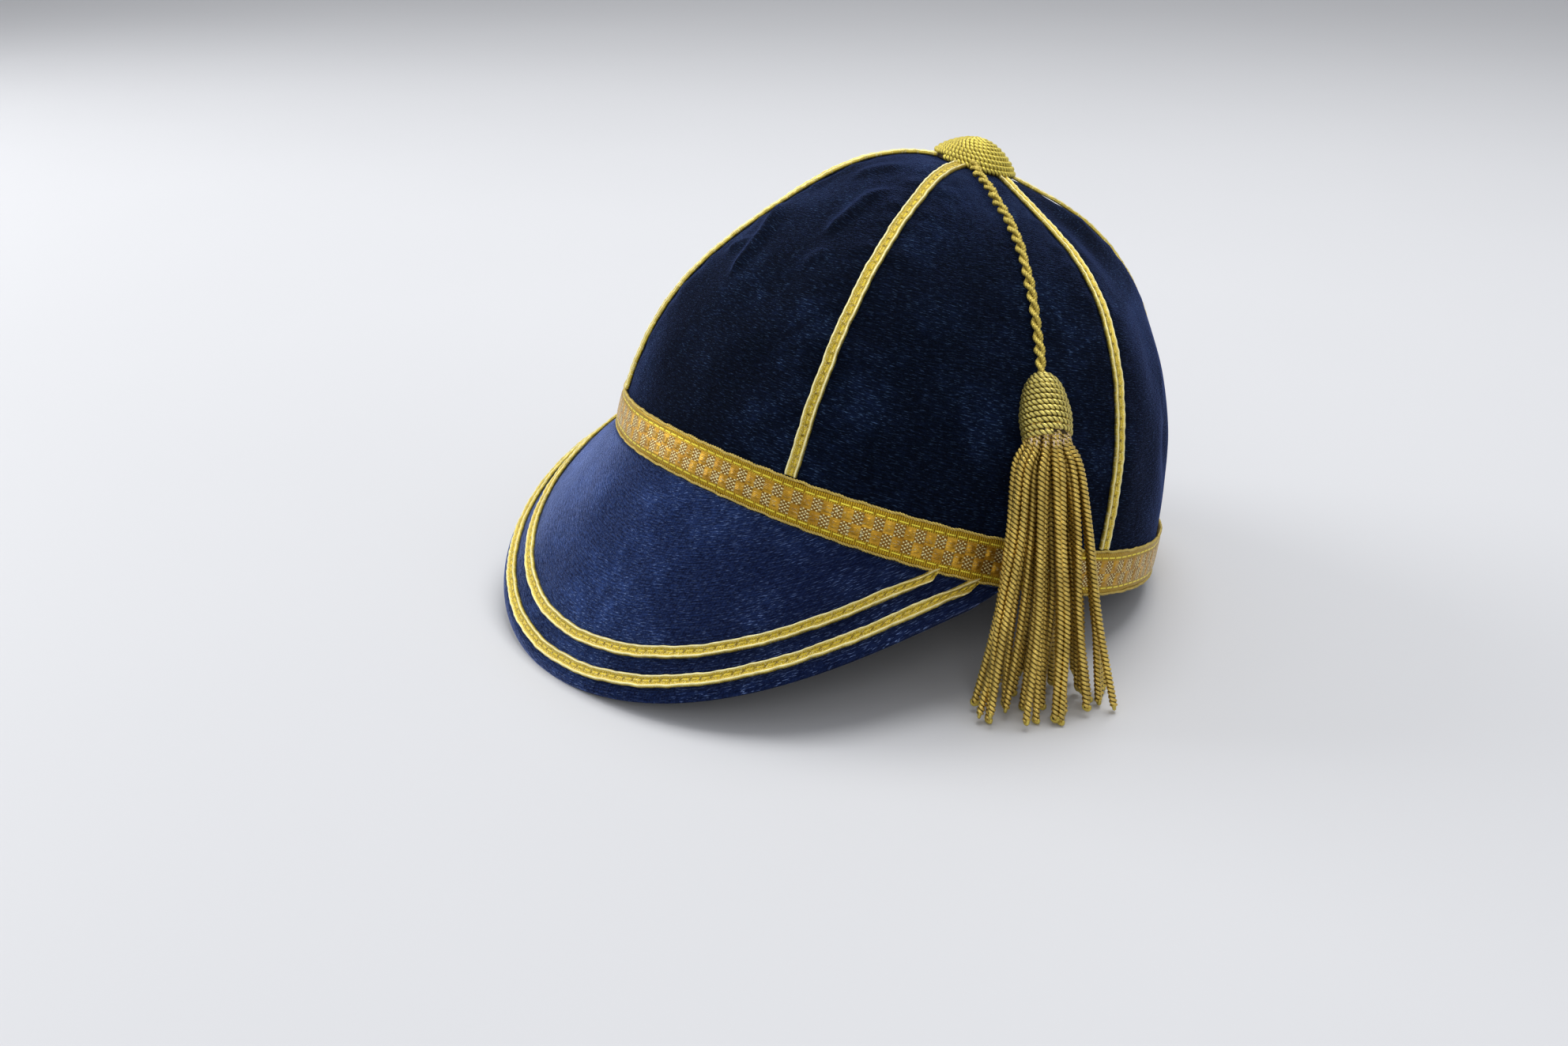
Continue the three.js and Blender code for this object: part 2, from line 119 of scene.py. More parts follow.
def spline(points, count):
    """A smooth curve through the points, at even steps."""
    points = np.asarray(points, float)
    padded = np.vstack([2 * points[0] - points[1], points, 2 * points[-1] - points[-2]])
    dense = []
    for i in range(len(points) - 1):
        p0, p1, p2, p3 = padded[i:i + 4]
        u = np.linspace(0, 1, SPLINE_STEPS, endpoint=False)[:, None]
        dense.append(0.5 * (
            2 * p1 + (p2 - p0) * u + (2 * p0 - 5 * p1 + 4 * p2 - p3) * u ** 2
            + (3 * p1 - p0 - 3 * p2 + p3) * u ** 3
        ))
    return evenly(np.vstack(dense + [points[-1:]]), count)


def carried_frames(path):
    """The tangent, normal and sideways directions along a path, turned as little as possible."""
    tangents = unit(np.gradient(path, axis=0))
    normals = np.empty_like(tangents)
    steep = abs(tangents[0][2]) >= 0.9
    normal = np.array([1.0, 0.0, 0.0] if steep else [0.0, 0.0, 1.0])
    for i, tangent in enumerate(tangents):
        normal = unit(normal - tangent * normal.dot(tangent))
        normals[i] = normal
    return tangents, normals, np.cross(tangents, normals)


def ply_paths(path, count, offset, pitch, hand=1, phase=0.0):
    """The middle lines of plies twisted round a path. offset may differ from point to point."""
    _, normals, sideways = carried_frames(path)
    offset = np.broadcast_to(offset, len(path))[:, None]
    plies = []
    for k in range(count):
        turn = (hand * 2 * np.pi * lengths_along(path) / pitch + phase + 2 * np.pi * k / count)[:, None]
        plies.append(path + offset * (np.cos(turn) * normals + np.sin(turn) * sideways))
    return plies


def ripples(u, v, waves):
    """A sum of sine waves: (wavelength along u, wavelength along v, height, phase) each."""
    total = 0
    for along_u, along_v, height, phase in waves:
        total = total + height * np.sin(2 * np.pi * (u / along_u + v / along_v) + phase)
    return total


class Shape:
    """Collects points, faces, their UVs in mm and their material numbers."""

    def __init__(self):
        self.points, self.faces, self.uvs, self.numbers = [], [], [], []
        self.count = 0

    def add_faces(self, quads, corners, number):
        self.faces.append(quads)
        self.uvs.append(corners.reshape(-1, 2))
        self.numbers.append(np.full(len(quads), number))

    def grid(self, points, uv, closed=False, number=0, flip=False):
        rows, columns = points.shape[:2]
        index = np.arange(rows * columns).reshape(rows, columns) + self.count
        self.points.append(points.reshape(-1, 3))
        self.count += rows * columns
        steps = columns if closed else columns - 1
        i, j = np.divmod(np.arange((rows - 1) * steps), steps)
        k, m = i + 1, (j + 1) % columns
        quads = np.stack([index[i, j], index[k, j], index[k, m], index[i, m]], 1)
        m = np.minimum(j + 1, uv.shape[1] - 1)
        corners = np.stack([uv[i, j], uv[k, j], uv[k, m], uv[i, m]], 1)
        if flip:
            quads, corners = quads[:, ::-1], corners[:, ::-1]
        self.add_faces(quads, corners, number)
        return index

    def strip(self, first, second, uv, number=0):
        """Faces between two rows of points that are already there."""
        quads = np.stack([first[:-1], first[1:], second[1:], second[:-1]], 1)
        self.add_faces(quads, np.stack([uv[:-1], uv[1:], uv[1:], uv[:-1]], 1), number)

    def sheet(self, outer, inner, uv, rim_number):
        """A curved wall: its two faces and the strips that join them round its rim."""
        a = self.grid(to_part(outer), uv, flip=True)
        b = self.grid(to_part(inner), uv, number=1)
        whole = slice(None)
        for rim in ((whole, 0), (whole, -1), (0, whole), (-1, whole)):
            self.strip(a[rim], b[rim], uv[rim], rim_number)

    def tube(self, path, radius, sides=8, number=0, lobes=None):
        """A tube along a path of points, with rounded ends. radius may differ from point to point.

        lobes are the plies that show on it, their pitch and the depth between them as a share."""
        radius = np.broadcast_to(radius, len(path))
        tangents, normals, sideways = carried_frames(path)
        along = lengths_along(path)
        turn = np.arange(sides) / sides * 2 * np.pi
        cosines, sines = np.cos(turn)[None, :, None], np.sin(turn)[None, :, None]
        ring = cosines * normals[:, None] + sines * sideways[:, None]
        size = radius[:, None, None]
        if lobes is not None:
            plies, pitch, depth = lobes
            ply_turn = (turn[None, :] - 2 * np.pi * along[:, None] / pitch) * plies / 2
            size = size * (1 - depth * (1 - np.abs(np.cos(ply_turn))))[..., None]
        points = path[:, None] + ring * size

        def end(at, way):
            middle = path[at] + way * tangents[at] * radius[at] * LAST_RING_REACH
            last_ring = middle + ring[at] * radius[at] * LAST_RING_SIZE
            tip = path[at] + way * tangents[at] * radius[at] * TIP_REACH
            return last_ring[None], np.broadcast_to(tip, (1, sides, 3))

        first, first_tip = end(0, -1)
        last, last_tip = end(-1, 1)
        points = np.concatenate([first_tip, first, points, last, last_tip])
        along = np.concatenate([[0, 0], along, [along[-1]] * 2])
        around = np.arange(sides + 1) / sides * 2 * np.pi * radius.mean()
        uv = np.stack(np.broadcast_arrays(along[:, None], around[None, :]), -1)
        self.grid(to_part(points), uv, closed=True, number=number)

    def object(self, name, *materials):
        points = np.concatenate(self.points)
        faces = np.concatenate(self.faces)
        mesh = bpy.data.meshes.new(name)
        mesh.vertices.add(len(points))
        mesh.vertices.foreach_set("co", points.astype(np.float32).ravel())
        mesh.loops.add(faces.size)
        mesh.loops.foreach_set("vertex_index", faces.astype(np.int32).ravel())
        mesh.polygons.add(len(faces))
        mesh.polygons.foreach_set("loop_start", np.arange(0, faces.size, 4, dtype=np.int32))
        mesh.polygons.foreach_set("material_index", np.concatenate(self.numbers).astype(np.int32))
        mesh.uv_layers.new(name="UVMap")
        mesh.uv_layers[0].data.foreach_set("uv", np.concatenate(self.uvs).astype(np.float32).ravel())
        mesh.update(calc_edges=True)
        mesh.validate()
        mesh.shade_smooth()
        for material in materials:
            mesh.materials.append(material)
        return linked(name, mesh)


# The crown's surface, in mm, in its own upright frame
RIM_GIRTH = 600
RIM_RATIO = 1.014  # length over width
TOP_RATIO = 1.033
CROWN_HEIGHT = 117.7
CROWN_WALL = 2
PANEL_TIP_RADIUS = 3
SHOULDER_SPREAD, SHOULDER_HEIGHT = 1.033, 0.584
TOP_SPREAD = 0.568
TOP_DROP = 6
PANEL_FLATNESS = 0.026
FLATNESS_RISE = 3  # the panels are fully flattened from a third of the height up
TOP_SHIFT = 3.9
RIM_SADDLE = 3.7
RIGHT_RISE = 1.6
LEAN = math.radians(16.3)
REST_DEPTH = 0.6
SEAM_GAP = 0.3
CLEARANCE = 0.3
HALF_WIDTH = RIM_GIRTH / (2 * math.pi) / math.sqrt((1 + RIM_RATIO ** 2) / 2)
HALF_LENGTH = HALF_WIDTH * RIM_RATIO
SEAMS = {"front": 29.2, "side": 93.4, "back": 151}  # degrees from the front, on each side
PROFILE_POINTS = [
    (1, 0), (SHOULDER_SPREAD, SHOULDER_HEIGHT * CROWN_HEIGHT), (TOP_SPREAD, CROWN_HEIGHT - TOP_DROP),
    (0, CROWN_HEIGHT),
]
PAST_WIDEST = 0.4  # from here on the profile only narrows
STEP = 0.001
# angle round the crown, height as a share, both spreads and the depth in mm
DENTS = [
    (-27, 0.92, 40, 12.3, -3.8),
    (-36, 0.7, 25, 24.5, 2.3),
    (150, 0.84, 18, 25.4, -2.6),
    (100, 0.95, 27.7, 17.9, 3.6),
    (-14, 0.86, 16, 9, 1.6),
    (8, 0.72, 9, 18, 0.9),
    (52, 0.8, 10, 16, 1.1),
    (118, 0.74, 12, 16, 1.4),
    (128, 0.36, 9, 20, 1.2),
    (176, 0.7, 16, 14, 1.5),
    (-122, 0.66, 12, 18, 1.3),
    (-60, 0.82, 14, 12, 1.2),
]

seam_angles = np.array(list(SEAMS.values()) + [360 - a for a in reversed(SEAMS.values())], float)


def profile(t):
    """A Bezier curve up the crown: its radius as a share of the half width, and its height."""
    weights = [(1 - t) ** 3, 3 * t * (1 - t) ** 2, 3 * t ** 2 * (1 - t), t ** 3]
    return [sum(weight * value for weight, value in zip(weights, row)) for row in zip(*PROFILE_POINTS)]


T_TABLE = np.linspace(0, 1, 4001)
SPREADS, HEIGHTS = profile(T_TABLE)
PROFILE_LENGTHS = lengths_along(np.column_stack([SPREADS * HALF_WIDTH, HEIGHTS]))


def t_at_height(height):
    return np.interp(height, HEIGHTS, T_TABLE)


def t_at_radius(radius):
    late = T_TABLE > PAST_WIDEST
    return np.interp(-radius, -SPREADS[late] * HALF_WIDTH, T_TABLE[late])


def t_at_length(length):
    return np.interp(length, PROFILE_LENGTHS, T_TABLE)


def length_at(t):
    return np.interp(t, T_TABLE, PROFILE_LENGTHS)


def panel_share(angle):
    degrees = np.mod(np.degrees(angle) - seam_angles[0], 360)
    starts = seam_angles - seam_angles[0]
    index = np.searchsorted(starts, degrees, side="right") - 1
    ends = np.append(starts[1:], 360)
    return (degrees - starts[index]) / (ends[index] - starts[index])


def dent_depth(angle, spread, height):
    depth = 0
    for at, share, across, along, deep in DENTS:
        turn = np.arctan2(np.sin(angle - math.radians(at)), np.cos(angle - math.radians(at)))
        x = turn * spread * HALF_WIDTH / across
        y = (height - share * CROWN_HEIGHT) / along
        depth = depth + deep * np.exp(-x * x - y * y)
    return depth


def profile_normal(t):
    """Outwards and upwards parts of the profile's normal."""
    (s0, h0), (s1, h1) = profile(np.maximum(t - STEP, 0)), profile(np.minimum(t + STEP, 1))
    ds, dh = (s1 - s0) * HALF_WIDTH, h1 - h0
    size = np.hypot(ds, dh)
    return dh / size, -ds / size


def crown_surface(angle, t):
    """Points at an angle round the crown from its front, and at a share t of the profile."""
    angle, t = np.broadcast_arrays(angle, t)
    spread, height = profile(t)
    rise = height / CROWN_HEIGHT
    bulge = np.sin(np.pi * panel_share(angle)) ** 2
    flatness = PANEL_FLATNESS * bulge * np.minimum(FLATNESS_RISE * rise, 1)
    dent = dent_depth(angle, spread, height)
    out, rising = profile_normal(t)
    radius = HALF_WIDTH * spread * (1 - flatness) - dent * out
    ratio = RIM_RATIO + (TOP_RATIO - RIM_RATIO) * rise
    left = np.where(np.cos(angle) >= 0, np.cos(2 * angle), (np.cos(2 * angle) - 1) / 2)
    wave = np.where(np.sin(angle) >= 0, left, np.cos(angle / 2) ** 2 + RIGHT_RISE * np.sin(angle) ** 2)
    return np.stack([
        radius * np.sin(angle),
        TOP_SHIFT * rise - ratio * radius * np.cos(angle),
        height + RIM_SADDLE * wave * (1 - rise) ** 2 - dent * rising,
    ], -1)


def crown_normal(angle, t):
    across = crown_surface(angle + STEP, t) - crown_surface(angle - STEP, t)
    rise = crown_surface(angle, t + STEP) - crown_surface(angle, np.maximum(t - STEP, 0))
    return unit(np.cross(across, rise))


def crown_point(angle, t, outwards):
    return crown_surface(angle, t) + crown_normal(angle, t) * outwards[..., None]


def turned(vectors):
    x, y, z = np.moveaxis(vectors, -1, 0)
    c, s = math.cos(LEAN), math.sin(LEAN)
    return np.stack([x, y * c + z * s, -y * s + z * c], -1)


def leant(points):
    """From the crown's own upright frame to the drawn frame."""
    pivot = np.array([0, HALF_LENGTH, 0])
    return turned(points - pivot) + pivot - np.array([0, 0, REST_DEPTH])


# Materials
WEAVE = 1.0  # mm from row to row of the velvet's ground
METAL_THREAD = 0.32  # mm from thread to thread round a wound cord
METAL_THREAD_SLANT = 0.6
WIRE = 0.36  # mm from wire to wire along a rope's plies


def srgb(red, green, blue):
    """Linear colour from 0 to 255 values."""
    values = np.array([red, green, blue]) / 255
    linear = np.where(values <= 0.04045, values / 12.92, ((values + 0.055) / 1.055) ** 2.4)
    return (*linear, 1.0)


class Finish:
    """A material's nodes round its Principled shader."""

    def __init__(self, name, **constants):
        self.material = bpy.data.materials.new(name)
        self.material.use_nodes = True
        self.tree = self.material.node_tree
        self.shader = self.tree.nodes["Principled BSDF"]
        for key, value in constants.items():
            self.shader.inputs[key.replace("_", " ")].default_value = value

    def add(self, kind, inputs=None, **settings):
        node = self.tree.nodes.new(kind)
        for key, value in settings.items():
            setattr(node, key, value)
        for key, value in (inputs or {}).items():
            self.give(node.inputs[key], value)
        return node

    def give(self, socket, value):
        if isinstance(value, bpy.types.NodeSocket):
            self.tree.links.new(value, socket)
        else:
            socket.default_value = value

    def set(self, key, value):
        self.give(self.shader.inputs[key], value)

    def math(self, operation, *values):
        return self.add("ShaderNodeMath", dict(enumerate(values)), operation=operation).outputs[0]

    def joined(self, operation, values):
        result, *others = values
        for value in others:
            result = self.math(operation, result, value)
        return result

    def plus(self, *values):
        return self.joined("ADD", values)

    def times(self, *values):
        return self.joined("MULTIPLY", values)

    def minus(self, first, second):
        return self.math("SUBTRACT", first, second)

    def part_of(self, value, pitch):
        """How far the value is through its step of a row with that pitch, from 0 to 1."""
        return self.math("FRACT", self.math("DIVIDE", value, pitch))

    def wave(self, value, wavelength):
        return self.math("SINE", self.times(value, 2 * math.pi / wavelength))

    def ridges(self, value, spacing):
        """Round ridges with sharp grooves, from 0 to 1."""
        return self.math("ABSOLUTE", self.math("SINE", self.times(value, math.pi / spacing)))

    def ramp(self, value, low, high, out_low=0.0, out_high=1.0, smooth=True):
        return self.add(
            "ShaderNodeMapRange",
            {"Value": value, "From Min": low, "From Max": high, "To Min": out_low, "To Max": out_high},
            interpolation_type="SMOOTHSTEP" if smooth else "LINEAR",
        ).outputs[0]

    def near(self, value, middle, inner, outer, beyond=0.0):
        """1 up to the inner distance from the middle, and beyond from the outer one on."""
        distance = self.math("ABSOLUTE", self.minus(value, middle))
        return self.ramp(distance, inner, outer, 1.0, beyond)

    def uv(self):
        map_node = self.add("ShaderNodeUVMap", uv_map="UVMap")
        split = self.add("ShaderNodeSeparateXYZ", {0: map_node.outputs[0]})
        return split.outputs[0], split.outputs[1]

    def position(self):
        return self.add("ShaderNodeTexCoord").outputs["Object"]

    def noise(self, vector, scale=1.0, detail=2.0, roughness=0.5):
        return self.add(
            "ShaderNodeTexNoise",
            {"Vector": vector, "Scale": scale, "Detail": detail, "Roughness": roughness},
        ).outputs["Fac"]

    def grain(self, scales, detail=2.0, roughness=0.6):
        """Noise over the UVs, with that many grains to the mm along and across."""
        u, v = self.uv()
        scaled = {0: self.times(u, scales[0]), 1: self.times(v, scales[1])}
        return self.noise(self.add("ShaderNodeCombineXYZ", scaled).outputs[0], 1.0, detail, roughness)

    def mix(self, factor, first, second):
        node = self.add("ShaderNodeMix", data_type="RGBA")
        for number, value in ((0, factor), (6, first), (7, second)):
            self.give(node.inputs[number], srgb(*value) if isinstance(value, tuple) else value)
        return node.outputs[2]

    def bump(self, height, distance, strength):
        node = self.add("ShaderNodeBump", {"Strength": strength, "Distance": distance, "Height": height})
        self.set("Normal", node.outputs[0])


def velvet(name, deep, lit, tip, tint, sheen, spread=0.2, grid=0.06, painted_side_shade=None):
    """Pile that lies in soft patches, with fine streaks along the weave and a few lit tips.

    The last argument darkens the pile towards one end along the cloth as painted shade: from, to, and the
    share of its light at each."""
    f = Finish(name, Roughness=0.9, Sheen_Weight=sheen, Sheen_Roughness=spread, Sheen_Tint=srgb(*tint))
    f.set("Specular IOR Level", 0.03)
    u, v = f.uv()
    place = f.position()
    patches = f.ramp(f.noise(place, 34.0, 3.0, 0.55), 0.42, 0.64)
    clouds = f.ramp(f.noise(place, 150.0, 3.0, 0.6), 0.35, 0.72)
    share = f.times(patches, f.plus(0.25, f.times(clouds, 0.75)))
    streaks = f.grain((0.24, 2.1), 3.0, 0.62)
    fine = f.grain((0.45, 3.3))
    cells = f.ramp(f.grain((0.8, 1.3), 1.0, 0.5), 0.42, 0.6)
    woven = f.times(f.ramp(f.wave(v, WEAVE), -0.8, 0.8), f.ramp(f.wave(u, WEAVE), -1.0, 0.6))
    lines = f.times(f.ramp(streaks, 0.46, 0.66), f.plus(0.22, f.times(share, 0.3)))
    bright = f.plus(f.times(share, 0.32), lines, f.times(f.plus(woven, cells), grid))
    # Painted shade: the pile is lightened towards one end along the cloth and darkened towards the other.
    if painted_side_shade:
        bright = f.times(bright, f.ramp(u, *painted_side_shade))
    pile = f.mix(f.math("MINIMUM", bright, 1.0), deep, lit)
    tips = f.times(f.ramp(fine, 0.57, 0.7), f.plus(0.25, f.times(share, 0.75)))
    f.set("Base Color", f.mix(tips, pile, tip))
    f.bump(f.plus(f.times(streaks, 0.6), f.times(fine, 0.4)), 0.0011, 0.7)
    return f.material


def wound_thread(name, base, dark, metallic, roughness):
    """Cord wound or twisted from fine metal thread, which shows as thin slanting ridges with painted shade
    in the grooves between them.
    """
    f = Finish(name, Metallic=metallic, Roughness=roughness)
    f.set("Specular IOR Level", 0.5)
    u, v = f.uv()
    threads = f.ridges(f.plus(u, f.times(v, METAL_THREAD_SLANT)), METAL_THREAD)
    wear = f.noise(f.position(), 420.0, 3.0, 0.6)
    # Painted shade: the grooves between the threads are darkened toward the dark colour, times random wear
    # and grain.
    shade = f.times(
        f.ramp(threads, 0.0, 0.75, 0.35, 1.0),
        f.ramp(wear, 0.3, 0.7, 0.72, 1.0),
        f.ramp(f.grain((5.0, 5.0)), 0.25, 0.75, 0.8, 1.0),
    )
    f.set("Base Color", f.mix(shade, dark, base))
    f.set("Roughness", f.ramp(wear, 0.3, 0.7, roughness + 0.12, roughness - 0.06))
    f.bump(threads, 0.00008, 0.8)
    return f.material


def rope(name, base, dark, metallic, roughness, lay):
    """Twisted metal thread, with painted shade in the grooves between its plies and its wires: lay is the
    plies, the pitch and the radius of the tube that it dresses.
    """
    plies, pitch, radius = lay
    spacing = abs(pitch) / plies
    f = Finish(name, Metallic=metallic, Roughness=roughness)
    f.set("Specular IOR Level", 0.4)
    u, v = f.uv()
    twist = f.times(v, pitch / (2 * math.pi * radius))
    ridge = f.ridges(f.minus(f.plus(u, spacing / 2), twist), spacing)
    wires = f.ridges(f.plus(v, f.times(u, 0.5)), WIRE)
    wear = f.noise(f.position(), 380.0, 3.0, 0.6)
    tone = f.noise(f.position(), 90.0, 2.0, 0.5)
    # Painted shade: the grooves between the plies are darkened almost to the dark colour and those between
    # the wires a little, times random wear and tone.
    shade = f.times(
        f.ramp(ridge, 0.1, 0.75, 0.06, 1.0),
        f.ramp(wires, 0.0, 0.7, 0.72, 1.0),
        f.ramp(wear, 0.3, 0.7, 0.75, 1.0),
        f.ramp(tone, 0.35, 0.65, 0.8, 1.0),
    )
    f.set("Base Color", f.mix(shade, dark, base))
    f.set("Roughness", f.ramp(wear, 0.3, 0.7, roughness + 0.1, roughness - 0.06))
    f.bump(f.plus(f.times(ridge, 0.7), f.times(wires, 0.3)), 0.00016, 0.8)
    return f


def bullion(lay):
    """The fringe's strands, old gold, with pale pinkish glints painted as highlights where they leave the
    head.
    """
    f = rope("bullion", (255, 220, 114), (32, 19, 4), 0.88, 0.3, lay)
    near_head = f.ramp(f.uv()[0], 5.0, 8.0, 0.85, 0.0)
    # Painted highlights: pale pinkish glints on the strands near the head.
    painted_glints = f.ramp(f.grain((1.6, 1.2)), 0.54, 0.6)
    gold = f.shader.inputs["Base Color"].links[0].from_socket
    f.set("Base Color", f.mix(f.times(near_head, painted_glints), gold, (255, 232, 224)))
    return f


def backing():
    """The plain woven back of the velvet, seen inside the crown."""
    thread = 2 * math.pi / 9  # mm
    f = Finish("velvet_backing", Roughness=0.95)
    u, v = f.uv()
    weave = f.times(f.wave(u, thread), f.wave(v, thread))
    cloth = f.noise(f.position(), 90.0, 4.0, 0.6)
    share = f.times(f.ramp(weave, -1.0, 1.0, 0.5, 1.0), f.ramp(cloth, 0.3, 0.7, 0.6, 1.0))
    f.set("Base Color", f.mix(share, (7, 9, 22), (20, 25, 52)))
    f.bump(weave, 0.0001, 0.6)
    return f.material


def flat_braid():
    """Two wound cords side by side, with a line of stitches in the groove between them."""
    stitch_pitch, thread, crest_at, stitch_at = 3.3, 0.42, 1.5, 0.25  # mm
    f = Finish("flat_braid", Metallic=0.85, Roughness=0.36)
    u, v = f.uv()  # along and across, in mm, with 0 at the middle
    off = f.math("ABSOLUTE", v)
    share = f.part_of(u, stitch_pitch)
    groove = f.ramp(off, 0.8, 1.05, 1.0, 0.0)
    crest_highlight = f.near(off, crest_at, 0.08, 0.42)
    stitch = f.times(f.near(v, stitch_at, 0.2, 0.42), f.near(share, 0.4, 0.28, 0.4))
    hole = f.times(f.ramp(off, 0.3, 0.6, 1.0, 0.0), f.near(share, 0.9, 0.05, 0.14))
    ridges = f.ridges(f.minus(u, f.times(off, 0.55)), thread)
    wear = f.noise(f.position(), 300.0, 3.0, 0.6)
    grain = f.grain((4.0, 4.0))
    painted_sparks = f.ramp(f.grain((2.0, 2.2), 3.0, 0.7), 0.52, 0.62)
    # Painted shade: the grooves between the wound threads are darker, times random wear.
    tone = f.times(f.ramp(ridges, 0.0, 0.8, 0.72, 1.0), f.ramp(wear, 0.3, 0.7, 0.7, 1.0))
    cords = f.mix(tone, (150, 118, 26), (240, 216, 92))
    # Painted highlight: a pale line along the crest of each cord.
    cords = f.mix(f.times(crest_highlight, tone), cords, (255, 250, 200))
    between = f.mix(f.ramp(grain, 0.35, 0.65), (146, 120, 24), (218, 192, 62))
    base = f.mix(groove, cords, between)
    base = f.mix(f.times(stitch, 0.85), base, (240, 214, 66))
    # Painted highlights: pale sparks scattered over the braid.
    base = f.mix(f.times(painted_sparks, 0.65), base, (255, 248, 196))
    # Painted shade: dark dots in the holes between the stitches, patchy with the wear.
    base = f.mix(f.times(hole, f.ramp(wear, 0.35, 0.6, 0.0, 0.6)), base, (86, 62, 16))
    f.set("Base Color", base)
    f.set("Roughness", f.ramp(grain, 0.3, 0.7, 0.5, 0.34))
    raised = f.plus(f.times(ridges, 0.35), f.times(stitch, 1.2))
    f.bump(f.plus(f.minus(raised, hole), f.times(painted_sparks, 0.5)), 0.00022, 0.8)
    return f.material


def lace():
    """The band's ribbon: satin squares and beaded squares by turns, and a stitched border."""
    pitch, border, stitch_at, stitch_pitch = 6.3, 4.3, 5.1, 3.6  # mm
    bead_share, bead_height, weft_pitch, hem_pitch = 0.235, 1.2, 0.42, 0.7
    f = Finish("lace", Metallic=0.9, Roughness=0.4)
    u, v = f.uv()  # along and across, in mm, with 0 at the middle
    off = f.math("ABSOLUTE", v)
    field = f.ramp(off, border - 0.15, border + 0.15, 1.0, 0.0)
    upper_row = f.ramp(v, -0.01, 0.01, smooth=False)
    cell = f.part_of(f.plus(u, f.times(upper_row, pitch * 0.5)), pitch)
    beaded = f.minus(1.0, f.near(cell, 0.28, 0.22, 0.27))
    bumps = f.times(f.wave(f.minus(cell, 0.53), bead_share), f.wave(v, bead_height))
    beads = f.times(f.ramp(bumps, 0.05, 0.65), beaded)
    mid_row = f.near(off, 2.1, 0.7, 1.5, 0.15)
    painted_glints = f.ramp(f.grain((0.8, 2.2), 3.0, 0.7), 0.54, 0.64)
    painted_sparkle = f.times(painted_glints, field, mid_row)
    pillow = f.times(f.near(cell, 0.28, 0.0, 0.26), field, mid_row)
    stitch = f.times(f.near(off, stitch_at, 0.2, 0.36), f.near(f.part_of(u, stitch_pitch), 0.45, 0.36, 0.43))
    hem = f.ramp(f.wave(u, hem_pitch), -0.6, 0.8)
    wear = f.noise(f.position(), 220.0, 3.0, 0.6)
    satin = f.mix(f.ramp(wear, 0.3, 0.7), (172, 126, 34), (214, 166, 54))
    # Bead tops pale as painted highlights, the gaps between them dark brown as painted shade.
    centre = f.mix(beaded, satin, f.mix(beads, (134, 92, 24), (255, 244, 176)))
    # Painted highlights: pale glints, mostly on the beaded squares of the middle rows.
    centre = f.mix(f.times(painted_sparkle, f.ramp(beaded, 0.0, 1.0, 0.45, 0.95)), centre, (255, 248, 196))
    edge = f.mix(f.times(hem, 0.8), (140, 106, 18), (216, 180, 50))
    f.set("Base Color", f.mix(stitch, f.mix(field, edge, centre), (255, 236, 84)))
    f.set("Roughness", f.ramp(wear, 0.3, 0.7, 0.44, 0.3))
    f.bump(f.plus(
        f.times(beads, field, 0.7), f.times(f.wave(v, weft_pitch), field, 0.1), f.times(painted_sparkle, 0.5),
        stitch, f.times(hem, f.minus(1.0, field), 0.35), f.times(pillow, 1.3),
    ), 0.00035, 0.9)
    return f.material


HEAD_LAY = (2, 3.0, 0.9)  # plies, pitch and radius in mm; a left-hand lay has a negative pitch
BUTTON_LAY = (2, 2.9, 1.02)
STRAND_LAY = (2, -2.8, 1.25)
CROWN_VELVET = velvet(
    "crown_velvet", (5, 9, 20), (23, 37, 68), (76, 102, 140), (98, 122, 196), 0.72,
)
# Painted light: the peak's top is a lighter, bluer copy of the crown's velvet; its underside keeps the
# crown's velvet.
PEAK_VELVET_LIT_COPY = velvet(
    "peak_velvet", (9, 16, 42), (58, 84, 148), (126, 152, 208), (170, 190, 255), 1.0,
    # Painted shade: the pile is lighter towards the peak's -X end and darker towards its +X end.
    spread=0.28, grid=0.22, painted_side_shade=(-90.0, 110.0, 1.3, 0.2),
)
BUTTON_CORD = rope("button_cord", (255, 236, 108), (92, 70, 10), 0.6, 0.38, BUTTON_LAY).material
TASSEL_CORD = wound_thread("tassel_cord_thread", (250, 226, 110), (70, 50, 10), 0.72, 0.36)
HEAD_CORD = rope("head_cord", (255, 236, 132), (46, 32, 6), 0.78, 0.33, HEAD_LAY).material
BULLION = bullion(STRAND_LAY).material
# Near black: painted shade in the gaps between the rows of the wound button and tassel head.
SHADED_CORE_THREAD = wound_thread("core_thread_painted_shade", (70, 52, 12), (28, 20, 4), 0.3, 0.6)
BAND_ROPE = wound_thread("band_rope", (240, 214, 116), (116, 90, 28), 0.7, 0.4)
BACKING = backing()
FLAT_BRAID = flat_braid()
LACE = lace()


# The cord
CORD_WAVES_OVER = 95  # mm over which its knobs and swells are laid out
PLY_RADIUS, PLY_OFFSET, PLY_PITCH = 0.9, 0.84, 9.2
PLY_LOBES = (3, 2.9, 0.36)  # the cords in a ply, their pitch and the depth between them
CORD_ROUTE = [
    (11.1, 29.6, 140.3), (15.9, 27.0, 139.3), (19.8, 25.5, 138.2), (27.3, 22.6, 135.6), (33.0, 20.2, 133.3),
    (39.3, 18.1, 130.5), (46.4, 15.1, 126.9), (52.4, 12.4, 123.1), (59.0, 8.9, 118.0), (63.7, 6.4, 113.5),
    (67.8, 4.2, 109.0), (71.5, 2.0, 104.3), (75.2, -0.3, 99.8), (78.5, -2.7, 96.7), (81.5, -5.1, 93.3),
]


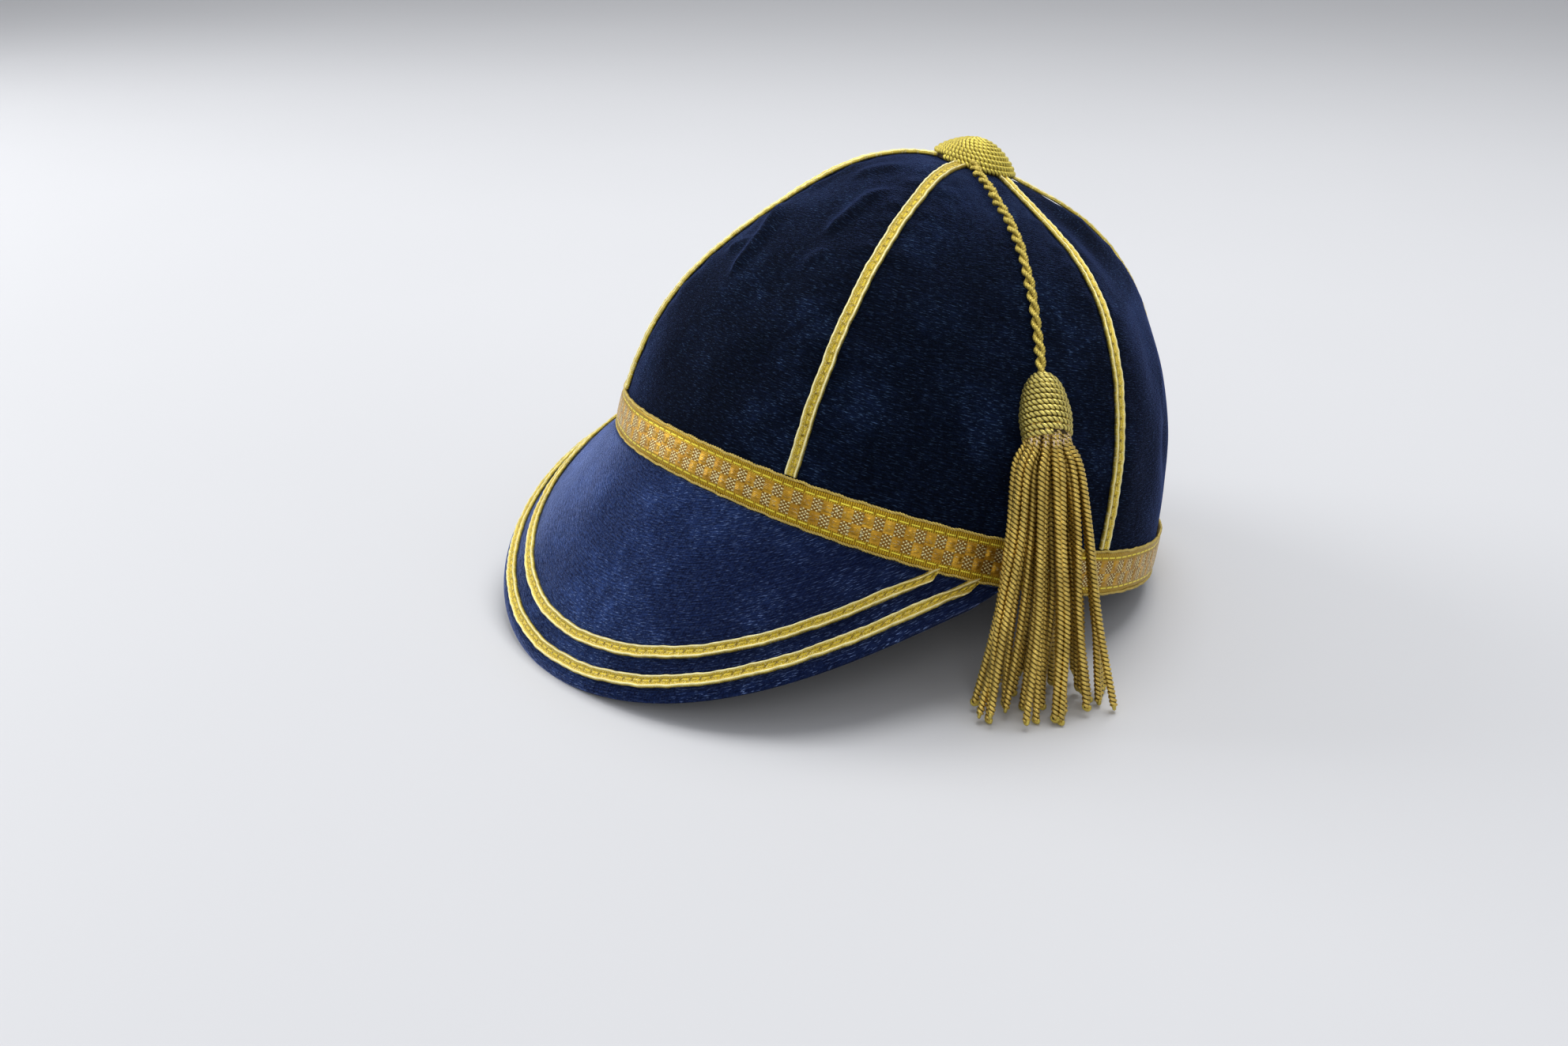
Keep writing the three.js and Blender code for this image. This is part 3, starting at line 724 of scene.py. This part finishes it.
def make_cord():
    """Two plies, each a cord of three, knobbly at the top and more even lower down."""
    path = spline(CORD_ROUTE, 640)
    along = np.linspace(0, 1, len(path))
    shape = Shape()
    down = along * CORD_WAVES_OVER
    loose = 1 - smoothstep(along, 0.25, 0.55)
    swell = PLY_OFFSET * (1 + ripples(down, 0, [(21, 1, 0.1, 1.0), (12.7, 1, 0.08, 2.2)]))
    for k, ply in enumerate(ply_paths(path, 2, swell, PLY_PITCH, hand=-1, phase=0.4)):
        knobs = ripples(down, 0, [(5.9, 1, 0.6, 2.1 * k), (3.3, 1, 0.5, 1.3 * k + 1)])
        radius = PLY_RADIUS * (0.96 + loose * (0.42 * np.maximum(knobs, 0) - 0.14))
        shape.tube(ply, radius, sides=14, lobes=PLY_LOBES)
    return shape.object("cord", TASSEL_CORD), path


cord, cord_path = make_cord()


# Velvet panels
PANEL_GRID = (85, 140)  # points across and up each panel
ABOVE_BAND = (15, 26)  # mm up from the rim over which the seams' relief sets in
BELOW_TIP = (22, 12)  # mm down from the panel's tip over which it fades out


def panel_relief(near, v):
    """The velvet swells a little near the seams and puckers along their stitches."""
    swell = 0.45 * smoothstep(near, 1.5, 5.5) * (1 - 0.6 * smoothstep(near, 6, 22))
    reach = np.exp(-((near - 4.5) / 4.5) ** 2)
    pucker = reach * ripples(v, near, [(11.3, 60, 0.16, 0.4), (7.1, 45, 0.1, 2.0), (17.9, -70, 0.14, 1.1)])
    return swell + pucker


# Soft creases: degrees round the crown and mm up it along each, then its height and half width in mm
CREASES = [
    ([(-28, 101), (-18, 95.5), (-12.2, 87.2), (-10, 80.3), (-8.5, 73.4), (-8, 66.7)], 1.9, 3.0),
    ([(17.2, 119.4), (12, 112.4), (11.5, 105.6), (10.5, 97.8), (10.2, 92.1)], 1.7, 3.2),
    ([(14.8, 85.7), (11.8, 80.3)], 0.9, 3.0),
    ([(5.2, 132.9), (-3.2, 127.3), (-9.2, 122.4)], 1.1, 3.6),
    ([(-12, 81.8), (-16.2, 79.5), (-19.2, 76.1)], 1.1, 2.6),
    ([(80, 112), (74, 101), (72, 92)], 0.5, 2.2),
    ([(128, 70), (124, 58), (125, 47)], 0.5, 2.4),
    ([(-140, 96), (-128, 88), (-121, 78)], 0.6, 2.2),
    ([(-62, 108), (-70, 97), (-73, 84)], 0.6, 2.2),
    ([(170, 104), (176, 92), (174, 80)], 0.6, 2.4),
]


def creases(degrees, u, v, radius):
    """The height of the creases at each point of a panel."""
    total = np.zeros_like(u)
    for route, height, half_width in CREASES:
        turn = np.mod(degrees - route[0][0] + 180, 360) - 180
        x = np.radians(turn) * radius
        nearest = np.full(u.shape, 1e9)
        line = spline([(math.radians(a - route[0][0]), up) for a, up in route], 40)
        for k, (a, up) in enumerate(line):
            fade = 6 * max(0.0, abs(2 * k / (len(line) - 1) - 1) - 0.5) ** 2
            nearest = np.minimum(nearest, np.hypot(x - a * radius, v - up) / half_width + fade)
        total = total + height * np.exp(-nearest ** 2)
    return total


def make_panel(name, start, end):
    across = np.linspace(0, 1, PANEL_GRID[0])[None, :]
    tip = length_at(t_at_radius(PANEL_TIP_RADIUS))
    t = t_at_length(np.linspace(0, tip, PANEL_GRID[1]))[:, None]
    half_gap = SEAM_GAP / 2 / (profile(t)[0] * HALF_WIDTH)
    low, high = math.radians(start) + half_gap, math.radians(end) - half_gap
    angle = low + (high - low) * across
    t = np.broadcast_to(t, angle.shape)
    radius = profile(t)[0] * HALF_WIDTH
    v = length_at(t)
    from_seam = np.minimum(angle - low, high - angle) * radius
    clear = smoothstep(v, *ABOVE_BAND) * (1 - smoothstep(tip - v, *BELOW_TIP))
    u = (angle - (low + high) / 2) * radius
    folds = ripples(u, v, [(38, 63, 0.22, start), (-29, 47, 0.16, end), (71, -33, 0.16, start + 1)])
    lift = panel_relief(from_seam, v) * clear
    lift = lift + folds * smoothstep(v, 15, 45) * smoothstep(from_seam, 2, 10)
    lift = lift + creases(np.degrees(angle), u, v, radius) * smoothstep(from_seam, 1.5, 5)
    outer = leant(crown_point(angle, t, lift))
    inner = leant(crown_point(angle, t, np.full(angle.shape, -CROWN_WALL)))
    shape = Shape()
    shape.sheet(outer, inner, np.stack([u, v], -1), 1)
    piece = shape.object(name + "_velvet", CROWN_VELVET, BACKING)
    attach(piece, "root")
    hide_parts(name)


front, side, rear = SEAMS["front"], SEAMS["side"], SEAMS["back"]
for name, start, end in [
    ("crown_panel_front", -front, front), ("crown_panel_left_front", front, side),
    ("crown_panel_left_back", side, rear), ("crown_panel_back", rear, 360 - rear),
    ("crown_panel_right_back", -rear, -side), ("crown_panel_right_front", -side, -front),
]:
    make_panel(name, start, end)


# Flat braids
BRAID_WIDTH = 4
BRAID_STEP = 0.55  # mm from row to row of its points


def braid_section():
    """Offsets across the braid, heights above the cloth and the number of points on its face."""
    half = [0, 0.44, 0.52, 0.62, 0.72, 0.8, 0.88, 0.96, 1]
    across = np.array([-share for share in half[:0:-1]] + half)
    lobe = np.sqrt(np.maximum(1 - ((np.abs(across) - 0.74) / 0.27) ** 2, 0))
    height = np.maximum(0.2 + 1.1 * lobe, np.where(np.abs(across) < 0.6, 0.74, 0))
    return np.concatenate([across, [1.0, 0.0, -1.0]]), np.concatenate([height, [0, 0, 0]]), len(across)


BRAID_ACROSS, BRAID_LIFTS, BRAID_FACE = braid_section()


def add_braid(shape, place, length, seed, flip=False):
    """place(along, across, lift) gives points in the drawn frame, all in mm."""
    along = np.linspace(0, length, int(length / BRAID_STEP))[:, None]
    drift = ripples(along, 0, [(23, 1, 0.09, seed), (9.7, 1, 0.06, 2 * seed), (5.3, 1, 0.04, 3 * seed)])
    width = BRAID_WIDTH / 2 * (1 + ripples(along, 0, [(8.3, 1, 0.02, seed), (3.3, 1, 0.012, seed + 1)]))
    across = BRAID_ACROSS[None, :] * width + drift
    uneven = ripples(along, 0, [(3.3, 1, 0.06, 0), (12, 1, 0.05, seed)])
    lift = CLEARANCE + BRAID_LIFTS[None, :] * (1 + uneven)
    along = np.broadcast_to(along, across.shape)
    points = place(along, across, lift)
    uv = np.stack(np.broadcast_arrays(along, BRAID_ACROSS[None, :] * BRAID_WIDTH / 2), -1)
    uv = np.concatenate([uv, uv[:, :1]], 1)
    index = shape.grid(to_part(points), uv, closed=True, flip=flip)
    for row, direction in ((index[0], 1), (index[-1], -1)):
        face, under = row[:BRAID_FACE], row[[0, -1, -2, -3, BRAID_FACE - 1]]
        nearest = np.linspace(0, len(under) - 1, BRAID_FACE).round().astype(int)
        shape.strip(face[::direction], under[nearest][::direction], np.zeros((BRAID_FACE, 2)))


BAND_WIDTH = 14.2
BUTTON_RADIUS = 14.8
seam_bottom = length_at(t_at_height(BAND_WIDTH + CLEARANCE))
seam_top = length_at(t_at_radius(BUTTON_RADIUS - 1.5))

for side_name, sign in (("left", 1), ("right", -1)):
    for name, degrees in SEAMS.items():
        def on_seam(along, across, lift, at=sign * math.radians(degrees)):
            t = t_at_length(seam_bottom + along)
            return leant(crown_point(at + across / (profile(t)[0] * HALF_WIDTH), t, lift))
        shape = Shape()
        add_braid(shape, on_seam, float(seam_top - seam_bottom), degrees + sign)
        node = f"seam_braid_{side_name}_{name}"
        piece = shape.object(node + "_cords", FLAT_BRAID)
        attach(piece, "root")
        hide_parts(node)


# The band
BAND_CLEARANCE = 0.4
BAND_GRID = (1000, 25)  # points round the band and up its face
EDGING_POINTS = 1500
EDGING_MIDDLE = 0.75  # mm from the band's back
EDGING_PLY_RADIUS, EDGING_OFFSET, EDGING_PITCH = 0.3, 0.24, 2.1


def make_band():
    count, face = BAND_GRID
    half_turn = math.pi - SEAM_GAP / 2 / HALF_WIDTH
    angle = np.linspace(-half_turn, half_turn, count)[:, None]
    across = np.concatenate([np.linspace(-1, 1, face), [1.0, 0.0, -1.0]])[None, :]
    u = angle * HALF_WIDTH
    middle = BAND_WIDTH / 2 + ripples(u, 0, [(83, 1, 0.12, 0.7), (37, 1, 0.08, 2)])
    height = middle + across * (BAND_WIDTH / 2 - 0.5)
    off = np.abs(across) * BAND_WIDTH / 2
    relief = 0.85 + 0.3 * (1 - smoothstep(off, 4.1, 4.6)) - 0.3 * smoothstep(off, 6.4, 7.1)
    relief = relief + ripples(u, across * 7, [(31, 90, 0.07, 0), (14, 50, 0.04, 2)])
    relief = np.where(np.arange(across.size)[None, :] < face, relief, 0)
    t = t_at_height(np.clip(height, 0, None))
    angle = np.broadcast_to(angle, t.shape)
    points = to_part(leant(crown_point(angle, t, BAND_CLEARANCE + relief)))
    uv = np.stack(np.broadcast_arrays(u, across * BAND_WIDTH / 2), -1)
    uv = np.concatenate([uv, uv[:, :1]], 1)
    shape = Shape()
    shape.grid(points, uv, closed=True)
    piece = shape.object("band_lace", LACE)
    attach(piece, "root")
    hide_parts("crown_band")
    for name, edge, seed in (("lower", 0.5, 1.0), ("upper", BAND_WIDTH - 0.45, 2.0)):
        angle = np.linspace(-half_turn, half_turn, EDGING_POINTS)
        waves = [(10.4, 1, 0.1, seed), (6.1, 1, 0.08, 2 * seed), (3.7, 1, 0.05, 3 * seed)]
        t = t_at_height(edge + ripples(angle * HALF_WIDTH, 0, waves))
        path = leant(crown_point(angle, t, np.full(angle.shape, BAND_CLEARANCE + EDGING_MIDDLE)))
        edging = Shape()
        for ply in ply_paths(path, 2, EDGING_OFFSET, EDGING_PITCH):
            edging.tube(ply, EDGING_PLY_RADIUS, sides=6)
        piece = edging.object(f"band_rope_{name}", BAND_ROPE)
        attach(piece, "root")


make_band()


# The peak
PEAK_HALF_ANGLE = math.radians(73.8)
PEAK_FRONT = np.array([0, -135.4, 0.7])
PEAK_OUT, PEAK_DOWN = 0.7, 1.31
PEAK_THICKNESS = 3
PEAK_SEAT = 0.5
PEAK_TURN = 12
PEAK_END = math.radians(88)
PEAK_BRAID_END_GAP = 2.4
PEAK_BRAID_RUN_ON = 3.2  # mm that the drawn braid runs on past its solid, up to the band
PEAK_FACET_ROOM = 0.12
PEAK_LEAST_SLANT = 0.15
PEAK_GRID = (181, 46)  # points along the edge and in from it
PEAK_ROUNDING = 9  # rows round its edge
GROOVE_DEPTH, GROOVE_HALF_WIDTH = 0.2, 1.6  # where the pile is pressed down under a braid
PEAK_BRAID_INSETS = {"outer": 6.1, "inner": 15.3}


def rim_seat(angle):
    outwards = crown_normal(angle, np.zeros_like(angle))
    point = crown_surface(angle, np.zeros_like(angle)) + outwards * (PEAK_THICKNESS / 2 - PEAK_SEAT)
    point[..., 2] -= CLEARANCE
    return leant(point), turned(outwards)


PEAK_CORNERS = rim_seat(np.array([-PEAK_HALF_ANGLE, PEAK_HALF_ANGLE]))[0]  # right and left


def peak_edge(turn):
    side, ahead = np.sin(turn), np.maximum(np.cos(turn), 0)
    corner = PEAK_CORNERS[(turn >= 0).astype(int)]
    return np.stack([
        np.abs(corner[..., 0]) * side,
        corner[..., 1] + (PEAK_FRONT[1] - corner[..., 1]) * ahead ** PEAK_OUT,
        corner[..., 2] + (PEAK_FRONT[2] - corner[..., 2]) * ahead ** PEAK_DOWN,
    ], -1)


def peak_ruling(turn):
    rim, rim_outwards = rim_seat(turn / (math.pi / 2) * PEAK_HALF_ANGLE)
    edge = peak_edge(turn)
    step = 0.002
    along = unit(peak_edge(turn + step) - peak_edge(turn - step))
    inwards = rim - edge
    length = np.linalg.norm(inwards, axis=-1)
    inwards = unit(inwards)
    slant = np.sqrt(np.maximum(1 - (inwards * along).sum(-1) ** 2, 0))
    slant = np.maximum(slant, PEAK_LEAST_SLANT)
    return edge, inwards, length, slant, unit(np.cross(along, inwards)), rim_outwards


def peak_point(ruling, distance, lift):
    edge, inwards, length, _, normal, rim_outwards = ruling
    near = smoothstep(distance, length - PEAK_TURN, length)[..., None]
    direction = unit(normal * (1 - near) + rim_outwards * near)
    return edge + inwards * distance[..., None] + direction * lift[..., None]


def make_peak():
    columns, rows = PEAK_GRID
    way = np.linspace(-1, 1, columns)
    turn = PEAK_END * (0.5 * way + 0.5 * np.sin(way * math.pi / 2))
    ruling = peak_ruling(turn)
    wide = tuple(part[None] for part in ruling)
    middle = float(peak_ruling(np.array(0.0))[2])
    round_rows = PEAK_THICKNESS * (1 - np.cos(np.linspace(0, math.pi / 2, PEAK_ROUNDING)))
    inset = np.concatenate([round_rows, np.linspace(PEAK_THICKNESS, middle, rows)[1:]])[:, None]
    distance = inset / middle * ruling[2][None]
    share = np.minimum(inset / PEAK_THICKNESS, 1)
    half = PEAK_THICKNESS / 2 * np.sqrt(1 - (1 - share) ** 2)
    true = distance * ruling[3][None]
    along = lengths_along(ruling[0])[None]
    swell = 0.35 * np.exp(-((true - 2.6) / 1.6) ** 2) + 0.3 * smoothstep(true, 17.5, 24)
    swell = swell + ripples(along, true, [(43, 57, 0.12, 1), (27, -39, 0.09, 2)]) * smoothstep(true, 3, 9)
    for braid_inset in PEAK_BRAID_INSETS.values():
        swell = swell - GROOVE_DEPTH * np.exp(-((true - braid_inset) / GROOVE_HALF_WIDTH) ** 2)
    swell = swell * (1 - smoothstep(distance, wide[2] - 10, wide[2] - 3))
    upper = peak_point(wide, distance, half - PEAK_THICKNESS / 2 + swell * share)
    lower = peak_point(wide, distance, np.broadcast_to(-half - PEAK_THICKNESS / 2, distance.shape))
    uv = np.stack(np.broadcast_arrays(along - along.mean(), true), -1)
    shape = Shape()
    shape.sheet(upper, lower, uv, 0)
    piece = shape.object("peak_velvet_cover", PEAK_VELVET_LIT_COPY, CROWN_VELVET)
    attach(piece, "root")
    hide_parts("peak")


make_peak()


def make_peak_braid(name, inset):
    shares = np.linspace(0, 1, 4000)
    ruling = peak_ruling(shares * PEAK_END)
    room = inset / ruling[3] - ruling[2] + PEAK_BRAID_END_GAP - PEAK_BRAID_RUN_ON
    most = shares[np.argmax(room > 0)] * PEAK_END
    turn = np.linspace(-most, most, 5000)
    dense = peak_ruling(turn)
    middle = peak_point(dense, inset / dense[3], np.zeros_like(turn))
    lengths = lengths_along(middle)

    def on_peak(along, across, lift):
        ruling = peak_ruling(np.interp(along, lengths, turn))
        return peak_point(ruling, (inset + across) / ruling[3], lift + PEAK_FACET_ROOM)

    shape = Shape()
    add_braid(shape, on_peak, float(lengths[-1]), inset, flip=True)
    piece = shape.object(f"peak_braid_{name}_cords", FLAT_BRAID)
    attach(piece, "root")
    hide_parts(f"peak_braid_{name}")


for name, inset in PEAK_BRAID_INSETS.items():
    make_peak_braid(name, inset)


# Wound forms
WOUND_SINK = 0.9  # share of its radius that a wound cord lies inside the outline
WOUND_DEPTH = 0.38  # of the groove between two plies, as a share of the radius
LATHE_SIDES = 48


def wound_cord(shape, outline, turns, lay, place, step):
    """A twisted cord wound round an axis, row by row, along an outline of (radius, height)."""
    plies, pitch, radius = lay
    outline = evenly(outline, 400)
    lengths = np.linspace(0, lengths_along(outline)[-1], len(outline))
    slopes = unit(np.gradient(outline, axis=0))
    outwards = np.stack([slopes[:, 1], -slopes[:, 0]], 1)
    seat = outline - outwards * radius * WOUND_SINK
    dense = np.linspace(0, 1, 6000)
    at = dense * lengths[-1]
    r = np.maximum(np.interp(at, lengths, seat[:, 0]), 0.3)
    z = np.interp(at, lengths, seat[:, 1])
    turn = dense * turns * 2 * math.pi
    path = np.stack([r * np.sin(turn), -r * np.cos(turn), z], 1)
    path = evenly(path, int(lengths_along(path)[-1] / step))
    shape.tube(place(path), radius, sides=12, lobes=(plies, pitch, WOUND_DEPTH))


def lathe(shape, outline, place):
    """The core that shows between the rows of a wound cord, coloured near black as painted shade in the
    gaps.
    """
    turn = np.arange(LATHE_SIDES) / LATHE_SIDES * 2 * math.pi
    points = np.stack(np.broadcast_arrays(
        outline[:, :1] * np.sin(turn)[None], -outline[:, :1] * np.cos(turn)[None], outline[:, 1:]), -1)
    lengths = lengths_along(outline)[:, None]
    uv = np.stack(np.broadcast_arrays(lengths, np.linspace(0, 60, LATHE_SIDES + 1)[None]), -1)
    shape.grid(to_part(place(points)), uv, closed=True, number=1, flip=True)


BUTTON_HEIGHT = 10.4
BUTTON_CLEARANCE = 0.45
BUTTON_TURNS = 9.5
BUTTON_CORE_INSET, BUTTON_CORE_DROP = 1.2, 0.9
BUTTON_BASE = (0.2, 0.38, 0.57, 0.75, 0.94)
BUTTON_DOME = [(1, 0.1), (0.95, 0.26), (0.82, 0.47), (0.62, 0.7), (0.38, 0.89), (0.18, 0.98), (0, 1)]


def on_button(points):
    """From the button's own frame to the drawn frame, sunk with the crown under it."""
    points = points.copy()
    angle = np.arctan2(points[..., 0], -points[..., 1])
    t = np.minimum(t_at_radius(np.hypot(points[..., 0], points[..., 1])), t_at_radius(PANEL_TIP_RADIUS))
    points[..., 2] -= profile(t)[1] - crown_surface(angle, t)[..., 2]
    return leant(points + np.array([0, TOP_SHIFT, 0]))


def make_button():
    reach = np.array(BUTTON_BASE) * BUTTON_RADIUS
    base = np.column_stack([reach, profile(t_at_radius(reach))[1] + BUTTON_CLEARANCE])
    edge = base[-1, 1]
    dome = np.array([(r * BUTTON_RADIUS, edge + h * BUTTON_HEIGHT) for r, h in BUTTON_DOME])
    shape = Shape()
    smooth = spline(dome, 120)
    core = smooth.copy()
    core[:, 0] = np.maximum(core[:, 0] - BUTTON_CORE_INSET, 0)
    core[:, 1] -= BUTTON_CORE_DROP
    lathe(shape, np.vstack([[(0, base[0, 1])], base, core]), on_button)
    wound_cord(shape, smooth, BUTTON_TURNS, BUTTON_LAY, on_button, 0.26)
    piece = shape.object("button_wound_cord", BUTTON_CORD, SHADED_CORE_THREAD)
    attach(piece, "root")
    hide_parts("crown_button")


make_button()

# The tassel
HEAD_TOP = np.array([81.7, -5.2, 93.0])
HEAD_BASE = np.array([92.6, -12.2, 77.3])
FRINGE_TIPS = np.array([111, -26.5, 1.1])
HEAD_OUTLINE = [(2.9, 0), (4.8, 0.1), (6.2, 0.24), (7.3, 0.46), (7.9, 0.68), (7.5, 1)]
HEAD_ROWS = 12
HEAD_CORE_INSET = 1.0


def make_head():
    axis = HEAD_BASE - HEAD_TOP
    length = float(np.linalg.norm(axis))
    down = axis / length
    x = unit(np.cross(down, [0, 0, 1.0]))
    y = np.cross(down, x)

    def on_head(points):
        return HEAD_TOP + points[..., :1] * x + points[..., 1:2] * y - points[..., 2:] * down

    outline = np.array([(r, -share * length) for r, share in HEAD_OUTLINE])
    smooth = spline(outline, 100)
    shape = Shape()
    core = smooth[::-1].copy()
    core[:, 0] -= HEAD_CORE_INSET
    lathe(shape, np.vstack([[(0, -length + 0.4)], core, [(0, -0.3)]]), on_head)
    wound_cord(shape, np.vstack([smooth[::-1], [(1.4, 0.3)]]), HEAD_ROWS, HEAD_LAY, on_head, 0.24)
    piece = shape.object("tassel_head_wound_cord", HEAD_CORD, SHADED_CORE_THREAD)
    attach(piece, "root")
    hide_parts("tassel")
    return piece


head = make_head()

# Share of the way down, half the width along the rim and outwards, and how far it stands out
FRINGE_SECTIONS = [
    (-0.08, 3.6, 3.6, 0), (0.015, 5.0, 4.4, 0.2), (0.1, 8.6, 5.6, 0.8),
    (0.34, 11.3, 5.8, 2.4), (0.66, 15.4, 7.7, 2), (1, 19.2, 11, 0),
]
FRINGE_ROOM = 1.3  # mm that the strands spread past those widths
SWAY_ASIDE, SWAY_WAVE, SWAY_OUT = 2.4, 1.3, 1.3  # mm at the tips
STRAND_DEPTH = 0.46  # of the groove between its plies, as a share of the radius
LOOP_RADIUS, LOOP_WIRE = 1.0, 0.55  # the loop at a strand's tip
TASSEL_ANGLE = math.radians(72)
STRAND_RINGS = [(18, 1.0), (11, 0.66), (6, 0.33)]  # strands in each ring, and its size


def make_fringe():
    outwards = np.array([math.sin(TASSEL_ANGLE), -math.cos(TASSEL_ANGLE), 0])
    rimwards = np.array([math.cos(TASSEL_ANGLE), math.sin(TASSEL_ANGLE), 0])
    plies, pitch, radius = STRAND_LAY
    shapes = [Shape(), Shape()]
    number = 0
    for ring, (count, size) in enumerate(STRAND_RINGS):
        for k in range(count):
            turn = 2 * math.pi * (k + 0.5 * ring) / count + rng.uniform(-0.16, 0.16)
            end = 1.0 - abs(rng.normal(0, 0.022)) - 0.035 * max(-math.sin(turn) * size, 0)
            spread = size * (1 + rng.uniform(-0.05, 0.05))
            sway = rng.uniform(-1, 1, 4)
            middle = []
            for way, width, depth, out in FRINGE_SECTIONS:
                loose = max(way, 0)
                way = way * end
                centre = HEAD_BASE + (FRINGE_TIPS - HEAD_BASE) * way
                side = (width + FRINGE_ROOM) * math.cos(turn) * spread + loose * SWAY_ASIDE * sway[0]
                side += SWAY_WAVE * loose * math.sin(7 * way + 3 * sway[1])
                deep = (depth + FRINGE_ROOM) * math.sin(turn) * spread + out + loose * SWAY_OUT * sway[2]
                middle.append(centre + rimwards * side + outwards * deep)
            path = spline(middle, 330)
            path[:, 2] = np.maximum(path[:, 2], radius + 0.2)
            shapes[number % 2].tube(path, radius, sides=12, lobes=(plies, pitch, STRAND_DEPTH))
            tip, aside = unit(path[-1] - path[-3]), unit(rimwards * sway[3] + outwards)
            loop = np.linspace(-0.4, math.pi + 0.4, 9)[:, None]
            loop = path[-1] + tip * (0.1 + LOOP_RADIUS * np.sin(loop)) + aside * LOOP_RADIUS * np.cos(loop)
            loop[:, 2] = np.maximum(loop[:, 2], LOOP_WIRE + 0.25)
            # The tip loops take the brighter tassel cord finish as a painted highlight.
            shapes[number % 2].tube(loop, LOOP_WIRE, sides=8, number=1)
            number += 1
    for n, shape in enumerate(shapes):
        piece = shape.object(f"fringe_strands_{n + 1}", BULLION, TASSEL_CORD)
        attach(piece, "root")
        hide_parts("tassel")


make_fringe()

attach(cord, "root")
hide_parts("tassel_cord")
tuple(to_part([CORD_ROUTE[0]])[0])
[tuple(p) for p in to_part(spline(CORD_ROUTE, 30))]


# Floor and light
FLOOR_HALF = 30  # m
AIM = (0, 0, 0.06)
LIGHTS = (  # name, place and size in m, and power in W
    ("key", (-0.2, 0.5, 1.5), 1.2, 16),
    ("fill", (1.3, -1.2, 1.0), 1.2, 5),
    ("left", (-1.3, -0.6, 0.8), 1.0, 11),
)
SKY_COLOUR = (0.86, 0.87, 0.9, 1)
SKY_STRENGTH = 0.55


def make_floor():
    mesh = bpy.data.meshes.new("floor")
    corners = [(x * FLOOR_HALF, y * FLOOR_HALF, 0) for x, y in ((-1, -1), (1, -1), (1, 1), (-1, 1))]
    mesh.from_pydata(corners, [], [(0, 1, 2, 3)])
    floor = linked("floor", mesh)
    f = Finish("floor_paint", Roughness=0.6)
    f.set("Base Color", f.mix(f.noise(f.position(), 3.0), (208, 209, 212), (212, 213, 216)))
    mesh.materials.append(f.material)


make_floor()


def area_light(name, place, size, power):
    data = bpy.data.lights.new(name, "AREA")
    data.shape = "DISK"
    data.size = size
    data.energy = power
    light = linked(name, data)
    light.location = place
    light.rotation_euler = (Vector(place) - Vector(AIM)).to_track_quat("Z", "Y").to_euler()


for light in LIGHTS:
    area_light(*light)
world = bpy.data.worlds.new("studio")
world.use_nodes = True
sky = world.node_tree.nodes["Background"]
sky.inputs["Color"].default_value = SKY_COLOUR
sky.inputs["Strength"].default_value = SKY_STRENGTH
bpy.context.scene.world = world
bpy.context.scene.view_settings.view_transform = "Standard"
